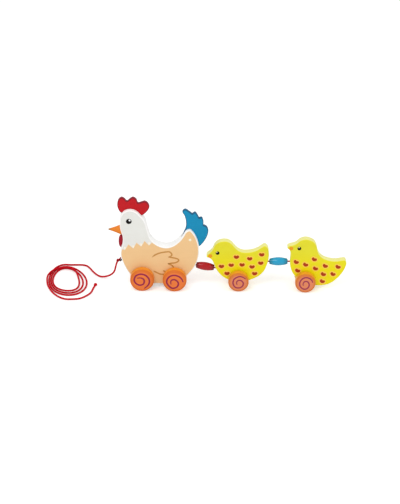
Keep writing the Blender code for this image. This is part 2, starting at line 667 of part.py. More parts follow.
def add_pull_cord(toy, hen, body, loop):
    """A screw eye in the chest, the cord's loop through it, its run to the floor, its coil and its end."""
    chest = Vector((edge_x(loop, EYE_HEIGHT, True), 0, EYE_HEIGHT))
    centre = chest - Vector((FIT + EYE_RING_RADIUS + EYE_WIRE_RADIUS, 0, 0))
    ring = ring_mesh("pull_eye", EYE_RING_RADIUS, EYE_WIRE_RADIUS)
    eye = node("pull_eye", ring, hen, "dark_steel", centre, (0, 1, 0))
    shank = rod_mesh("eye_shank", EYE_SHANK_RADIUS, EYE_SHANK_LENGTH, CORD_SIDES)
    start = centre + Vector((EYE_RING_RADIUS + EYE_SHANK_LENGTH / 2, 0, 0))
    boolean(eye, cutter("eye_shank", shank, hen, start, (1, 0, 0)), "UNION")
    depth = EYE_RING_RADIUS + EYE_SHANK_LENGTH - (chest - centre).x + FIT
    drill(body, "eye_hole", EYE_SHANK_RADIUS + FIT, chest, (1, 0, 0), depth)

    knot = centre - Vector((EYE_RING_RADIUS, 0, 0))
    fall = Vector((-math.cos(LEAD_FALL), 0, -math.sin(LEAD_FALL)))
    loop_mesh = ring_mesh("pull_cord_knot", KNOT_LOOP_RADIUS, KNOT_TUBE_RADIUS)
    node("pull_cord_knot", loop_mesh, hen, "red_cord", knot)
    knot_end = knot + Vector((-KNOT_LOOP_RADIUS, 0, HEN_WHEEL_RADIUS))
    tied = knot_end + fall * (KNOT_TUBE_RADIUS + 2 * FIT)
    cord_tube("pull_cord_lead", toy, [tied] + LEAD_ROUTE)
    coil = coil_mesh("pull_cord_coil")
    node("pull_cord_coil", coil, toy, "red_cord", (*COIL_CENTRE, 0))
    cord_tube("pull_cord_tail", toy, TAIL_ROUTE)
    name = "pull_cord_end_knot"
    knot_mesh = rod_mesh(name, END_KNOT_RADIUS, END_KNOT_LENGTH, CORD_SIDES, edge=END_KNOT_RADIUS)
    across = (math.cos(END_KNOT_TURN), math.sin(END_KNOT_TURN), 0)
    node(name, knot_mesh, toy, "red_cord", END_KNOT_PLACE, across)


def centre_toy(toy):
    """Puts the middle of the toy's length at X = 0. The pull cord doesn't count."""
    bpy.context.view_layer.update()
    graph = bpy.context.evaluated_depsgraph_get()
    found = []
    for made in bpy.context.scene.objects:
        if made.type == "MESH" and not made.hide_render and not made.name.startswith("pull_cord"):
            solid = made.evaluated_get(graph)
            found += [(solid.matrix_world @ vert.co).x for vert in solid.data.vertices]
    toy.location.x = -(min(found) + max(found)) / 2
    bpy.context.view_layer.update()


def main():
    for made in list(bpy.data.objects):
        bpy.data.objects.remove(made, do_unlink=True)
    toy = empty("toy")
    hen, hen_body, hen_loop = add_hen(toy)
    add_train(toy, hen_body, hen_loop)
    add_pull_cord(toy, hen, hen_body, hen_loop)
    centre_toy(toy)


main()
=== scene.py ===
"""The looks of a wooden pull-along hen with two chicks: painted boards, turned wheels and beads, and cord.

Lengths are in metres in the frame's own axes: the toy runs along X and faces -X, and it stands on Z = 0.
"""

import json
import math
from collections import namedtuple

import bmesh
import bpy
import numpy as np
from mathutils import Matrix, Vector


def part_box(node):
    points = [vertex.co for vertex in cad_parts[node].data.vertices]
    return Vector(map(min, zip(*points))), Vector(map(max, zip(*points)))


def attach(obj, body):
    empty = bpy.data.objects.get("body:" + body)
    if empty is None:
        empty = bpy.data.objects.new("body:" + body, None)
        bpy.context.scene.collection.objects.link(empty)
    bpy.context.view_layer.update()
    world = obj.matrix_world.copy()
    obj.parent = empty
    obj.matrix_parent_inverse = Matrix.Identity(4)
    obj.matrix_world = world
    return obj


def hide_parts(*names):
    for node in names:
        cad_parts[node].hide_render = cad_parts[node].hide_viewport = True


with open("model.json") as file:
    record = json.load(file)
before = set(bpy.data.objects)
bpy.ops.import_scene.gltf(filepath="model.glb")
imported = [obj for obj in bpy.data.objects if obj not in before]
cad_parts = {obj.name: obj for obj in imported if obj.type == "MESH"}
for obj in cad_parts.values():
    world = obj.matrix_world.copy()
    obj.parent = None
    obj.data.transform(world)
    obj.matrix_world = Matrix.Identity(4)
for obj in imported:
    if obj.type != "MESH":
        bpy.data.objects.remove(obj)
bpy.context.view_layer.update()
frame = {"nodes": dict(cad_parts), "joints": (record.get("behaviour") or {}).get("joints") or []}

# Sizes of the pieces, as in the solids
HEN_THICKNESS = 0.018
CHICK_THICKNESS = 0.012
INSERT_THICKNESS = 0.006
WATTLE_THICKNESS = 0.005
BODY_ROUNDOVER = 0.0018
INSERT_ROUNDOVER = 0.0012
FIT = 0.0003
CORD_RADIUS = 0.0011
CORD_HOLE_RADIUS = 0.0017
CORD_HOLE_DEPTH = 0.012
CHEST_HOLE_FALL = math.radians(14)
WHEEL_BORE_RADIUS = 0.0028
WHEEL_BORE_DEPTH = 0.0085
BEAD_RADIUS = 0.0062
BEAD_END_RADIUS = 0.0042
BEAD_EDGE_ROUND = 0.0009
BEAD_SWELL_POWER = 0.85
BEAK_LENGTH = 0.0196
BEAK_TIP_RADIUS = 0.0011
BEAK_SPIGOT_RADIUS = 0.003
BEAK_SPIGOT_LENGTH = 0.008
EYE_SHANK_RADIUS = 0.0009
KNOT_TUBE_RADIUS = 0.0008
PULL_CORD_RADIUS = 0.0013
LEAD_FALL = math.radians(70)

# Finer forms that only the scene has
OUTLINE_STEP = 0.0012
FACE_LIP = 0.0004
WATTLE_POWER = 0.82
WATTLE_LIFT = 0.0010
BEAK_EDGE_ROUND = 0.0008
EYE_WIRE_RADIUS = 0.0009
EYE_RING_ENDS = (math.radians(335), math.radians(12))
THREAD_PITCH = 0.0009
THREADS_FROM = 0.15
NECK_START = (0.0008, 0.0001)
THREAD_MEAN = 0.89
THREAD_WAVE = 0.09
TAIL_PIN_DOME = 0.0005
TAIL_PIN_DOME_SHAPE = ((0, 1), (0.55, 0.9), (0.9, 0.5), (1, 0))
BEAK_FLANK_TURN = 22
BEAK_FLANK_MIDDLE = (0.55, 0.47)
WHEEL_EDGE_ROUND = 0.0024
WHEEL_CROWN = 0.0002
WHEEL_HALF_CROWN = 0.00015
WHEEL_BORE_EASE = (0.0002, 0.0005)
BEAD_BORE_EASE = 0.0002
PRINT_FILM = 0.00006
PRINT_STEP = 0.0006
# How deep in each board its face colour begins, and how soft that step is. The edge colour outside it is
# painted top light on the hen and the chicks, and painted shade on the comb and the tail.
HEN_PRINT_AND_LIT_EDGE_DEPTH = (0.00006, 0.00005)
CHICK_LIT_EDGE_DEPTH = (0.0006, 0.0004)
INSERT_SHADED_EDGE_DEPTH = (0.00002, 0.00002)
LINK_STEP = 0.0003
CORD_SIDES = 14
KNOT_SIDES = 12
MERGE_DISTANCE = 1e-7
SHARP_FROM = math.radians(40)

# Where each body's own axes stand, how thick its board is, and the slot of its paint
Body = namedtuple("Body", "name x z pitch thickness slot")
JOINTS = {joint["name"]: joint for joint in frame["joints"]}
CHICK_2_PITCH = math.radians(25.5)


def joint_place(name):
    return np.array(JOINTS[name]["pos_m"])


def box_of(node):
    """The middle of a node's box at rest, and half of its size."""
    low, high = (np.array(corner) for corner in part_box(node))
    return (low + high) / 2, (high - low) / 2


def chick_body(name, pitch):
    x, _, z = joint_place(f"{name}_wheels_turn")
    return Body(name, x, z, pitch, CHICK_THICKNESS, "yellow_paint")


front_axle, rear_axle = joint_place("hen_front_wheels_turn"), joint_place("hen_rear_wheels_turn")
HEN = Body("hen", (front_axle[0] + rear_axle[0]) / 2, front_axle[2], 0, HEN_THICKNESS, "white_paint")
CHICKS = [chick_body("chick_1", 0), chick_body("chick_2", CHICK_2_PITCH)]

# Outlines as (x, z) from the middle of the body's axles. A third value marks a corner.
CORNER = True
HEN_OUTLINE = [
    (-0.0100, -0.0115, CORNER), (-0.0215, -0.0106), (-0.0350, -0.0043), (-0.0445, 0.0071),
    (-0.0493, 0.0156), (-0.0535, 0.0262), (-0.0557, 0.0365), (-0.0549, 0.0445),
    (-0.0527, 0.0525), (-0.0525, 0.0645), (-0.0555, 0.0750), (-0.0567, 0.0855),
    (-0.0558, 0.0960), (-0.0511, 0.1038), (-0.0425, 0.1073), (-0.0340, 0.1053),
    (-0.0264, 0.0985), (-0.0207, 0.0903), (-0.0164, 0.0761), (-0.0120, 0.0625),
    (-0.0065, 0.0557), (0.0014, 0.0507), (0.0110, 0.0486), (0.0205, 0.0515),
    (0.0278, 0.0573), (0.0328, 0.0632), (0.0362, 0.0687), (0.0395, 0.0745),
    (0.0446, 0.0767), (0.0506, 0.0713), (0.0546, 0.0640), (0.0573, 0.0555),
    (0.0587, 0.0480), (0.0588, 0.0400), (0.0574, 0.0300), (0.0545, 0.0211),
    (0.0497, 0.0124), (0.0434, 0.0044), (0.0340, -0.0050), (0.0215, -0.0106),
    (0.0100, -0.0115, CORNER),
]
CHICK_OUTLINE = [
    (0.0000, -0.0066), (-0.0085, -0.0052), (-0.0155, -0.0020), (-0.0220, 0.0018),
    (-0.0287, 0.0085), (-0.0332, 0.0155), (-0.0366, 0.0240), (-0.0396, 0.0300),
    (-0.0428, 0.0328), (-0.0473, 0.0348), (-0.0462, 0.0384), (-0.0425, 0.0416),
    (-0.0388, 0.0461), (-0.0356, 0.0536), (-0.0304, 0.0586), (-0.0233, 0.0606),
    (-0.0165, 0.0601), (-0.0108, 0.0564), (-0.0058, 0.0505), (-0.0010, 0.0460),
    (0.0045, 0.0435), (0.0120, 0.0431), (0.0201, 0.0446), (0.0268, 0.0474),
    (0.0325, 0.0516), (0.0374, 0.0543), (0.0412, 0.0516), (0.0434, 0.0446),
    (0.0438, 0.0381), (0.0431, 0.0308), (0.0408, 0.0215), (0.0369, 0.0124),
    (0.0307, 0.0054), (0.0230, 0.0005), (0.0150, -0.0030), (0.0078, -0.0056),
]
COMB_SEAT_FRONT = (-0.0563, 0.1010)
COMB_SEAT_REAR = (-0.0248, 0.0962)
COMB_OUTLINE = [
    (*COMB_SEAT_FRONT, CORNER),
    (-0.0597, 0.1085), (-0.0602, 0.1150), (-0.0584, 0.1210), (-0.0540, 0.1243),
    (-0.0497, 0.1222), (-0.0463, 0.1188), (-0.0427, 0.1217), (-0.0377, 0.1246),
    (-0.0328, 0.1217), (-0.0299, 0.1160), (-0.0257, 0.1172), (-0.0203, 0.1186),
    (-0.0152, 0.1145), (-0.0139, 0.1100), (-0.0154, 0.1060), (-0.0192, 0.1008),
    (*COMB_SEAT_REAR, CORNER),
]
TAIL_TOP_OUTLINE = [
    (0.0389, 0.0777), (0.0392, 0.0874), (0.0370, 0.0970), (0.0340, 0.1041),
    (0.0373, 0.1068), (0.0435, 0.1036), (0.0481, 0.0999, CORNER), (0.0519, 0.1024),
    (0.0557, 0.0983), (0.0581, 0.0935, CORNER), (0.0615, 0.0944), (0.0641, 0.0899),
    (0.0645, 0.0820, CORNER), (0.0685, 0.0803), (0.0716, 0.0747), (0.0709, 0.0671),
    (0.0672, 0.0582),
]
TAIL_PIN_PLACE = (0.0454, 0.0613)
TAIL_PIN_RADIUS = 0.002
TAIL_SLOPE = math.radians(-40.3)
TAIL_SWING = math.radians(18)
TAIL_FOOT_DEPTH = 0.0067
TAIL_HEEL_LENGTH = 0.0155
TAIL_TOE_LENGTH = 0.0088
TAIL_TIPS = ((-0.0114, -0.0020), (0.0196, 0.0004))

# Prints on the boards, from the middle of the body's axles
FEATHER_EDGE = [
    (-0.0620, 0.0446), (-0.0525, 0.0446), (-0.0490, 0.0436), (-0.0440, 0.0527), (-0.0369, 0.0461),
    (-0.0323, 0.0557), (-0.0253, 0.0495), (-0.0206, 0.0588), (-0.0140, 0.0515), (-0.0097, 0.0564),
    (-0.0078, 0.0545), (-0.0040, 0.0600), (0.0020, 0.1200),
]
FEATHER_RANGE = ((-0.062, 0.002), (0.03, 0.12))
FEATHER_SOFTNESS = 0.0006
WING_STROKES = [
    [(-0.0096, 0.0323), (-0.0044, 0.0366), (0.0031, 0.0398), (0.0135, 0.0417), (0.0167, 0.0408),
     (0.0192, 0.0376), (0.0182, 0.0349), (0.0140, 0.0330)],
    [(0.0140, 0.0330), (0.0224, 0.0317), (0.0281, 0.0299), (0.0291, 0.0271), (0.0249, 0.0241),
     (0.0189, 0.0231), (0.0135, 0.0223)],
    [(0.0135, 0.0223), (0.0188, 0.0200), (0.0226, 0.0158)],
    [(-0.0073, 0.0100), (-0.0015, 0.0067), (0.0031, 0.0048), (0.0087, 0.0046)],
    [(0.0067, 0.0107), (0.0102, 0.0084)],
]
WING_LINE_WIDTH = 0.0022
FEATHER_TIPS = [(-0.0489, 0.0438), (-0.0369, 0.0463), (-0.0253, 0.0497), (-0.0140, 0.0517)]
FEATHER_TIP_SIZE = (0.0017, 0.0048)
HEARTS = [
    (-0.0037, 0.0362), (0.0157, 0.0338), (0.0331, 0.0407), (0.0320, 0.0269), (0.0048, 0.0236),
    (-0.0110, 0.0228), (-0.0252, 0.0205), (0.0195, 0.0205), (-0.0169, 0.0090), (0.0236, 0.0095),
]
HEART_RADII = (0.0039, 0.0031)
HEART_NOTCH = 0.62
HALO_RADII = (0.0055, 0.0046)
HALO_NOTCH = 0.1
HEN_EYE = (-0.0434, 0.0898)
HEN_EYE_RADIUS = 0.0041
HEN_HIGHLIGHT_PLACE = (0.29, 0.42)
CHICK_EYE = (-0.0313, 0.0418)
CHICK_EYE_RADIUS = 0.0028
CHICK_HIGHLIGHT_PLACE = (-0.38, 0.5)
HIGHLIGHT_SHARE = 0.36
BEAK_MARK = (-0.0419, 0.0366)
BEAK_MARK_SIZE = (0.0030, 0.0029)

# Wheel prints: each spiral's course from inside to outside, in parts of the wheel's radius
SPIRALS = {
    "hen_front_wheel": [
        (-0.41, 0.24), (-0.17, 0.28), (0.08, 0.20), (0.19, -0.03), (0.09, -0.31), (-0.22, -0.40),
        (-0.54, -0.21), (-0.65, 0.09), (-0.51, 0.46), (-0.13, 0.63), (0.26, 0.54), (0.52, 0.29),
        (0.62, -0.03), (0.52, -0.37), (0.20, -0.71),
    ],
    "hen_rear_wheel": [
        (-0.29, -0.29), (-0.32, -0.02), (-0.20, 0.13), (0.03, 0.15), (0.25, -0.02), (0.32, -0.25),
        (0.19, -0.53), (-0.15, -0.65), (-0.46, -0.45), (-0.66, -0.09), (-0.57, 0.26), (-0.32, 0.50),
        (0.06, 0.56), (0.41, 0.42), (0.62, 0.18), (0.71, -0.07),
    ],
    "chick_1_wheel": [
        (-0.12, -0.21), (-0.19, 0.02), (-0.11, 0.21), (0.09, 0.30), (0.30, 0.23), (0.46, 0.01),
        (0.44, -0.26), (0.26, -0.47), (-0.01, -0.55), (-0.28, -0.49), (-0.47, -0.26), (-0.53, 0.05),
        (-0.45, 0.37), (-0.22, 0.58), (0.09, 0.70), (0.42, 0.63), (0.69, 0.44),
    ],
    "chick_2_wheel": [
        (-0.20, -0.20), (-0.23, 0.01), (-0.13, 0.22), (0.08, 0.29), (0.28, 0.17), (0.37, -0.08),
        (0.32, -0.33), (0.14, -0.52), (-0.11, -0.57), (-0.35, -0.45), (-0.52, -0.22), (-0.56, 0.10),
        (-0.43, 0.42), (-0.21, 0.62), (0.08, 0.70), (0.39, 0.60), (0.61, 0.40), (0.71, 0.15),
    ],
}
SPIRAL_LINE_SHARE = 0.13

# Pull cord, from the floor below the middle of the hen's axles. Its lead begins at the knot and ends in the
# coil's first turn, and its tail begins where the coil's last turn ends.
LEAD_ROUTE = [
    (-0.0617, 0.0002, 0.0344), (-0.0634, 0.0010, 0.0272), (-0.0650, 0.0032, 0.0198),
    (-0.0686, 0.0080, 0.0128), (-0.0738, 0.0130, 0.0070), (-0.0812, 0.0172, 0.0029),
    (-0.0872, 0.0204, 0.0016), (-0.0932, 0.0269, 0.0015), (-0.0989, 0.0365, 0.0015),
    (-0.1046, 0.0480, 0.0015), (-0.1125, 0.0560, 0.0015),
]
TAIL_ROUTE = [
    (-0.1145, -0.0500, 0.0015), (-0.1043, -0.0409, 0.0015), (-0.0980, -0.0308, 0.0015),
    (-0.0957, -0.0192, 0.0015), (-0.0933, -0.0094, 0.0016),
]
COIL_MIDDLE = (-0.1345, 0.002)
COIL_LEAN = -0.10
COIL_FAR_NEAR = [0.0548, 0.0415, 0.0478, 0.0350, 0.0430, 0.0280, 0.0410, 0.0545]
COIL_LEFT_RIGHT = [0.0268, 0.0286, 0.0240, 0.0231, 0.0212, 0.0176, 0.0298]
COIL_START = math.radians(80)
COIL_END = math.radians(3 * 360 + 268)
FLOOR_CORD_HEIGHT = 0.0015
END_KNOT_PLACE = (-0.0926, -0.0066, 0.0023)
END_KNOT_TURN = math.radians(-55)
END_KNOT_SCALE = 0.0006
END_KNOT_TUBE = 0.0011
CORD_STEP = 0.0009
ROUTE_STEP = 0.001
COIL_STEP = math.radians(3)
ROUTE_BLENDS = 12
HUMP_HEIGHT = 2.15 * PULL_CORD_RADIUS
HUMP_TOP = 0.003
HUMP_FOOT = 0.016
OWN_STRETCH = 0.02
FLOOR_STRETCH_BELOW = 0.004
RELIEF_PITCH = 0.0032
RELIEF_WAVES = 3
RELIEF_LOW = 0.96
RELIEF_RISE = 0.07

# The knot at the screw eye: the open loop, the wraps round the cord's start, and the short end that stands up
LOOP_ENDS = (0.1 * math.pi, 1.9 * math.pi)
WRAP_RADIUS = 0.0013
WRAP_TURNS = 2.25
WRAP_START = -0.0006
WRAP_RUN = 0.0030
KNOT_STEP = 0.0004
KNOT_STUB = [
    (0.0002, -0.0012, -0.0004), (0.0006, -0.0014, 0.0012), (0.0020, -0.0016, 0.0023),
    (0.0035, -0.0015, 0.0040), (0.0042, -0.0013, 0.0056),
]

# Camera, from the photograph's vanishing and scale
CAMERA_TARGET = (-0.0402, 0, 0.055)
CAMERA_DISTANCE = 3.0
CAMERA_ELEVATION = math.radians(27)
CAMERA_ROLL = math.radians(0.9)
FOCAL_PIXELS = 2055
PHOTO_WIDTH = 400
SENSOR_WIDTH = 36

# Light
SKY_STRENGTH = 0.70
KEY_PLACE = (-0.5, -0.9, 1.4)
KEY_SIZE = 0.9
KEY_POWER = 8.0
FILL_PLACE = (1.1, -0.6, 0.9)
FILL_SIZE = 1.0
FILL_POWER = 2.8
LIT_PLACE = (-0.04, 0, 0.04)
FLOOR_GLOW = 0.35
FLOOR_REACH = 6

# Finishes: the scales of the paint's and the cord's noise, the cord's braid, and where a paint turns into its
# second colour. The chick's is over height, the beak's behind its tip, and the bead's and the wheel's in
# parts of length and radius. The bead's darker ends and the wheel's darker rim are painted shade.
GRAIN_SCALE = (28, 260, 260)
PATCH_SCALE = 45
PORE_SCALE = 900
FUZZ_SCALE = 1400
BRAID_STRANDS = 6
BRAID_PITCH = 0.0016
COAT_ROUGHNESS = 0.12
CHICK_PALER_TOP = (0.034, 0.062)
BEAK_DARK_TIP = np.array((0.0055, 0.0012))
BEAD_END_SHADE_SPAN = (0.25, 0.52)
RIM_SHADE_SPAN = (0.72, 0.90)
WHEEL_FACE_BLEND = 0.0003


# Curves in the plane and in space

def lengths_of(steps):
    return np.linalg.norm(steps, axis=-1, keepdims=True)


def unit(vectors):
    return vectors / lengths_of(vectors)


def shares_of(distance, step):
    """A column of even shares from 0 up to but without 1, about a step apart over the distance."""
    return np.linspace(0, 1, max(2, round(float(distance) / step)), endpoint=False)[:, None]


def smooth_outline(points, step=OUTLINE_STEP):
    """A closed curve through the points. Between two neighbours it is a cubic Bezier whose handles are a
    third of their distance long. Each handle lies along the mean of the two chords at its point, weighted to
    the shorter one, or along its own chord where the point is a corner."""
    spots = np.array([point[:2] for point in points])
    corner = np.array([len(point) > 2 for point in points])[:, None]
    ends = np.roll(spots, -1, axis=0)
    size = lengths_of(ends - spots)
    along = (ends - spots) / size
    heading = unit(np.roll(along, 1, axis=0) * size + along * np.roll(size, 1, axis=0))
    leave = np.where(corner, along, heading)
    arrive = np.where(np.roll(corner, -1, axis=0), along, np.roll(heading, -1, axis=0))
    pieces = []
    for start, end, first, last, reach in zip(
        spots, ends, spots + leave * size / 3, ends - arrive * size / 3, size[:, 0],
    ):
        t = shares_of(reach, step)
        pieces.append(
            start * (1 - t) ** 3 + first * 3 * t * (1 - t) ** 2 + last * 3 * t * t * (1 - t) + end * t ** 3
        )
    return np.vstack(pieces)


def smooth_path(points, step):
    """An open curve through the points, by the Catmull-Rom formula between each two of them."""
    route = np.array(points, dtype=float)
    ends = np.vstack((route[:1] * 2 - route[1:2], route, route[-1:] * 2 - route[-2:-1]))
    pieces = []
    for i in range(1, len(ends) - 2):
        before, start, stop, after = ends[i - 1:i + 3]
        t = shares_of(np.linalg.norm(stop - start), step)
        pieces.append(0.5 * (
            2 * start + (stop - before) * t
            + (2 * before - 5 * start + 4 * stop - after) * t ** 2
            + (3 * start - before - 3 * stop + after) * t ** 3
        ))
    return np.vstack(pieces + [route[-1:]])


def run_along(path):
    """How far along the path each of its points is."""
    return np.concatenate(([0], np.cumsum(np.linalg.norm(np.diff(path, axis=0), axis=1))))


def at_runs(path, runs):
    """The places at these distances along the path."""
    return np.column_stack([np.interp(runs, run_along(path), part) for part in path.T])


def even_loop(loop, count):
    """The same closed outline with this many points, evenly spaced."""
    closed = np.vstack((loop, loop[:1]))
    return at_runs(closed, np.linspace(0, run_along(closed)[-1], count, endpoint=False))


def even_steps(path, step):
    """The same path with points this far apart."""
    length = run_along(path)[-1]
    return at_runs(path, np.linspace(0, length, max(2, round(length / step))))


def way_round(loop):
    """1 where the closed outline runs anticlockwise, and -1 where it runs clockwise."""
    x, z = loop.T
    return np.sign(np.sum(x * np.roll(z, -1) - np.roll(x, -1) * z))


def outward(loop):
    """Unit normals in the plane, a quarter turn from the closed outline's run, away from its inside."""
    along = unit(np.roll(loop, -1, axis=0) - np.roll(loop, 1, axis=0))
    return np.column_stack((along[:, 1], -along[:, 0])) * way_round(loop)


def roundover_along(loop, roundover):
    """How wide the rim can be rounded at each point: three quarters of the outline's radius where it turns
    tightly outward, carried to the points beside it and blended along about six points either way."""
    least_turn, no_limit, reach = 0.02, 1.0, 3
    before = loop - np.roll(loop, 1, axis=0)
    after = np.roll(loop, -1, axis=0) - loop
    turn = np.arctan2(before[:, 0] * after[:, 1] - before[:, 1] * after[:, 0], np.sum(before * after, axis=1))
    turn = sum(np.roll(turn * way_round(loop), k) for k in (-1, 0, 1))
    span = (lengths_of(before)[:, 0] + lengths_of(after)[:, 0]) / 2
    room = np.where(turn > least_turn, 3 * span / np.maximum(turn, least_turn), no_limit)
    width = np.minimum(0.75 * room, roundover)
    for blend in (np.min, np.min, np.mean, np.mean):
        width = blend([np.roll(width, k) for k in range(-reach, reach + 1)], axis=0)
    return width


# Meshes

def placed(points, body):
    """From the body's own axes to the frame's: a turn by its pitch about Y, then a move to its axle."""
    x, y, z = np.asarray(points, dtype=float).T
    turn, lift = math.cos(body.pitch), math.sin(body.pitch)
    return np.column_stack((body.x + x * turn + z * lift, y, body.z - x * lift + z * turn))


def upright(spots, y):
    """(x, z) points of a board's plane, stood up at this y."""
    return np.column_stack((spots[:, 0], np.broadcast_to(y, len(spots)), spots[:, 1]))


def grid_faces(rows, columns):
    """Quads between neighbouring rows of a grid whose rows close on themselves."""
    row, column = np.meshgrid(np.arange(rows - 1), np.arange(columns), indexing="ij")
    corner = row * columns + column
    beside = row * columns + (column + 1) % columns
    return np.stack((corner, beside, beside + columns, corner + columns), axis=-1).reshape(-1, 4).tolist()


def capped_faces(rows, columns):
    """The same quads, and a face that closes each end."""
    last = (rows - 1) * columns
    return grid_faces(rows, columns) + [list(range(columns)), list(range(last, last + columns))]


def joined(shapes):
    """One list of vertices and one of faces from several."""
    vertices, faces, first = [], [], 0
    for points, quads in shapes:
        vertices.append(points)
        faces += [[first + corner for corner in face] for face in quads]
        first += len(points)
    return np.vstack(vertices), faces


def added(name, data):
    """A new object of the scene, at the origin."""
    made = bpy.data.objects.new(name, data)
    bpy.context.scene.collection.objects.link(made)
    return made


def closed_mesh(name, shape):
    """A mesh from (vertices, faces). Points that coincide are merged, and the faces turned outward."""
    vertices, faces = shape
    mesh = bpy.data.meshes.new(name)
    mesh.from_pydata(np.asarray(vertices).tolist(), [], faces)
    solid = bmesh.new()
    solid.from_mesh(mesh)
    bmesh.ops.remove_doubles(solid, verts=solid.verts, dist=MERGE_DISTANCE)
    bmesh.ops.recalc_face_normals(solid, faces=solid.faces)
    solid.to_mesh(mesh)
    solid.free()
    return mesh


def shade(mesh):
    """Smooth shading where faces meet at a small angle."""
    mesh.shade_smooth()
    mesh.set_sharp_from_angle(angle=SHARP_FROM)


def new_piece(name, shape, body, material, replaced=()):
    """A piece from (vertices, faces) in the frame's axes, which rides on the body."""
    mesh = closed_mesh(name, shape)
    shade(mesh)
    mesh.materials.append(material)
    piece = added(name, mesh)
    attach(piece, body)
    if replaced:
        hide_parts(*replaced)
    return piece


def cut(piece, *shapes):
    """Takes the shapes away from the piece."""
    tools = [added("cutter", closed_mesh("cutter", shape)) for shape in shapes]
    for tool in tools:
        step = piece.modifiers.new("cut", "BOOLEAN")
        step.operation = "DIFFERENCE"
        step.solver = "EXACT"
        step.object = tool
    bpy.context.view_layer.update()
    graph = bpy.context.evaluated_depsgraph_get()
    finished = bpy.data.meshes.new_from_object(piece.evaluated_get(graph))
    piece.modifiers.clear()
    piece.data = finished
    finished.name = piece.name
    for tool in tools:
        bpy.data.objects.remove(tool, do_unlink=True)
    shade(finished)


def board(loop, thickness, roundover, body):
    """A board: the outline is carried along a profile of two quarter circles, one at each face."""
    normals = outward(loop)
    width = roundover_along(loop, roundover)
    turns = np.linspace(0, math.pi / 2, 6)
    insets = [width + FACE_LIP] + [width * (1 - math.sin(t)) for t in turns]
    depths = [width * 0] + [width * (1 - math.cos(t)) for t in turns]
    rows = []
    for side in (-1, 1):
        half = [
            upright(loop - normals * inset[:, None], side * (thickness / 2 - depth))
            for inset, depth in zip(insets, depths)
        ]
        rows += half[::-side]
    return placed(np.vstack(rows), body), capped_faces(len(rows), len(loop))


def plate(loop, low, high, body):
    """A straight-sided plate: the closed outline of the board's plane, from one y to another."""
    return placed(np.vstack([upright(loop, y) for y in (low, high)]), body), capped_faces(2, len(loop))


def prints(name, loops, level, ink, body):
    """Printed patches on both faces of a body's board: each closed outline is a plate that is half sunk into
    the face, and the level says how many films of ink high it stands."""
    face, height = body.thickness / 2, level * PRINT_FILM
    films = [
        plate(loop, side * (face - height), side * (face + height), body)
        for side in (-1, 1) for loop in loops
    ]
    return new_piece(name, joined(films), body.name, ink)


def stroke(line, width, side, body, taper=0.35):
    """A printed line: a flat bar is carried along the curve, half sunk into the face and two films of ink
    high. Over the line's length its width rises and falls as 2.5 times a half sine wave, from the taper's
    share to the whole width at most."""
    along = unit(np.gradient(line, axis=0))
    across = np.column_stack((-along[:, 1], along[:, 0]))
    t = np.linspace(0, 1, len(line))
    share = taper + (1 - taper) * np.minimum(1, np.sin(math.pi * t) * 2.5)
    half = across * (width / 2 * share)[:, None]
    face, height = body.thickness / 2, 2 * PRINT_FILM
    rows = [
        upright(line + sign * half, side * (face + level))
        for sign, level in ((-1, -height), (-1, height), (1, height), (1, -height))
    ]
    return placed(np.stack(rows, axis=1).reshape(-1, 3), body), capped_faces(len(line), len(rows))


def round_angles(count):
    """This many even angles round a circle, from 0."""
    return np.linspace(0, 2 * math.pi, count, endpoint=False)


def turned(profile, origin, axis, sides=64):
    """A solid turned about the axis from (radius, distance along the axis) points, closed at both poles."""
    radius, along = np.array(profile).T
    axis = unit(np.array(axis, dtype=float))
    helper = np.array((0.0, 0.0, 1.0)) if abs(axis[2]) < 0.9 else np.array((1.0, 0.0, 0.0))
    across = unit(np.cross(helper, axis))
    up = np.cross(axis, across)
    t = round_angles(sides)
    ring = np.cos(t)[:, None] * across + np.sin(t)[:, None] * up
    points = np.array(origin) + radius[:, None, None] * ring + along[:, None, None] * axis
    return points.reshape(-1, 3), grid_faces(len(profile), sides)


def arc(centre, radius, start, end, steps):
    """Points on a circle from one angle to another, in degrees."""
    t = np.radians(np.linspace(start, end, steps + 1))
    return [(centre[0] + radius * math.cos(a), centre[1] + radius * math.sin(a)) for a in t]


def tube(path, radius, sides, relief=None):
    """A round cord: a circle is carried along the path without twisting, and a face closes each end. The
    radius is one value or one for each point, and the relief's share of it may vary along the cord and
    around it."""
    along = unit(np.gradient(path, axis=0))
    across = np.zeros_like(path)
    aside = (0.31, 0.17, 0.93)
    across[0] = unit(np.cross(along[0], aside))
    for i in range(1, len(path)):
        across[i] = unit(across[i - 1] - along[i] * np.dot(across[i - 1], along[i]))
    up = np.cross(along, across)
    t = round_angles(sides)
    size = np.broadcast_to(radius, len(path))[:, None]
    if relief is not None:
        size = size * relief(run_along(path)[:, None], t[None, :])
    size = np.broadcast_to(size, (len(path), sides))
    points = path[:, None, :] + size[..., None] * (
        np.cos(t)[None, :, None] * across[:, None, :] + np.sin(t)[None, :, None] * up[:, None, :]
    )
    return points.reshape(-1, 3), capped_faces(len(path), sides)


# Materials

def linear(red, green, blue):
    """A colour from its 0 to 255 values."""
    part = np.array((red, green, blue)) / 255
    value = np.where(part <= 0.04045, part / 12.92, ((part + 0.055) / 1.055) ** 2.4)
    return (*value.tolist(), 1)


def add_node(tree, kind, inputs=(), **settings):
    made = tree.nodes.new(kind)
    for name, value in settings.items():
        setattr(made, name, value)
    for name, value in dict(inputs).items():
        if isinstance(value, bpy.types.NodeSocket):
            tree.links.new(value, made.inputs[name])
        else:
            made.inputs[name].default_value = value
    return made


def math_node(tree, operation, first, second=0):
    return add_node(tree, "ShaderNodeMath", {0: first, 1: second}, operation=operation).outputs[0]


def mix_colours(tree, share, first, second, blend="MIX"):
    inputs = {0: share, 6: first, 7: second}
    return add_node(tree, "ShaderNodeMix", inputs, data_type="RGBA", blend_type=blend).outputs[2]


def noise(tree, vector, scale, detail, rough):
    inputs = {"Vector": vector, "Scale": scale, "Detail": detail, "Roughness": rough}
    return add_node(tree, "ShaderNodeTexNoise", inputs).outputs[0]


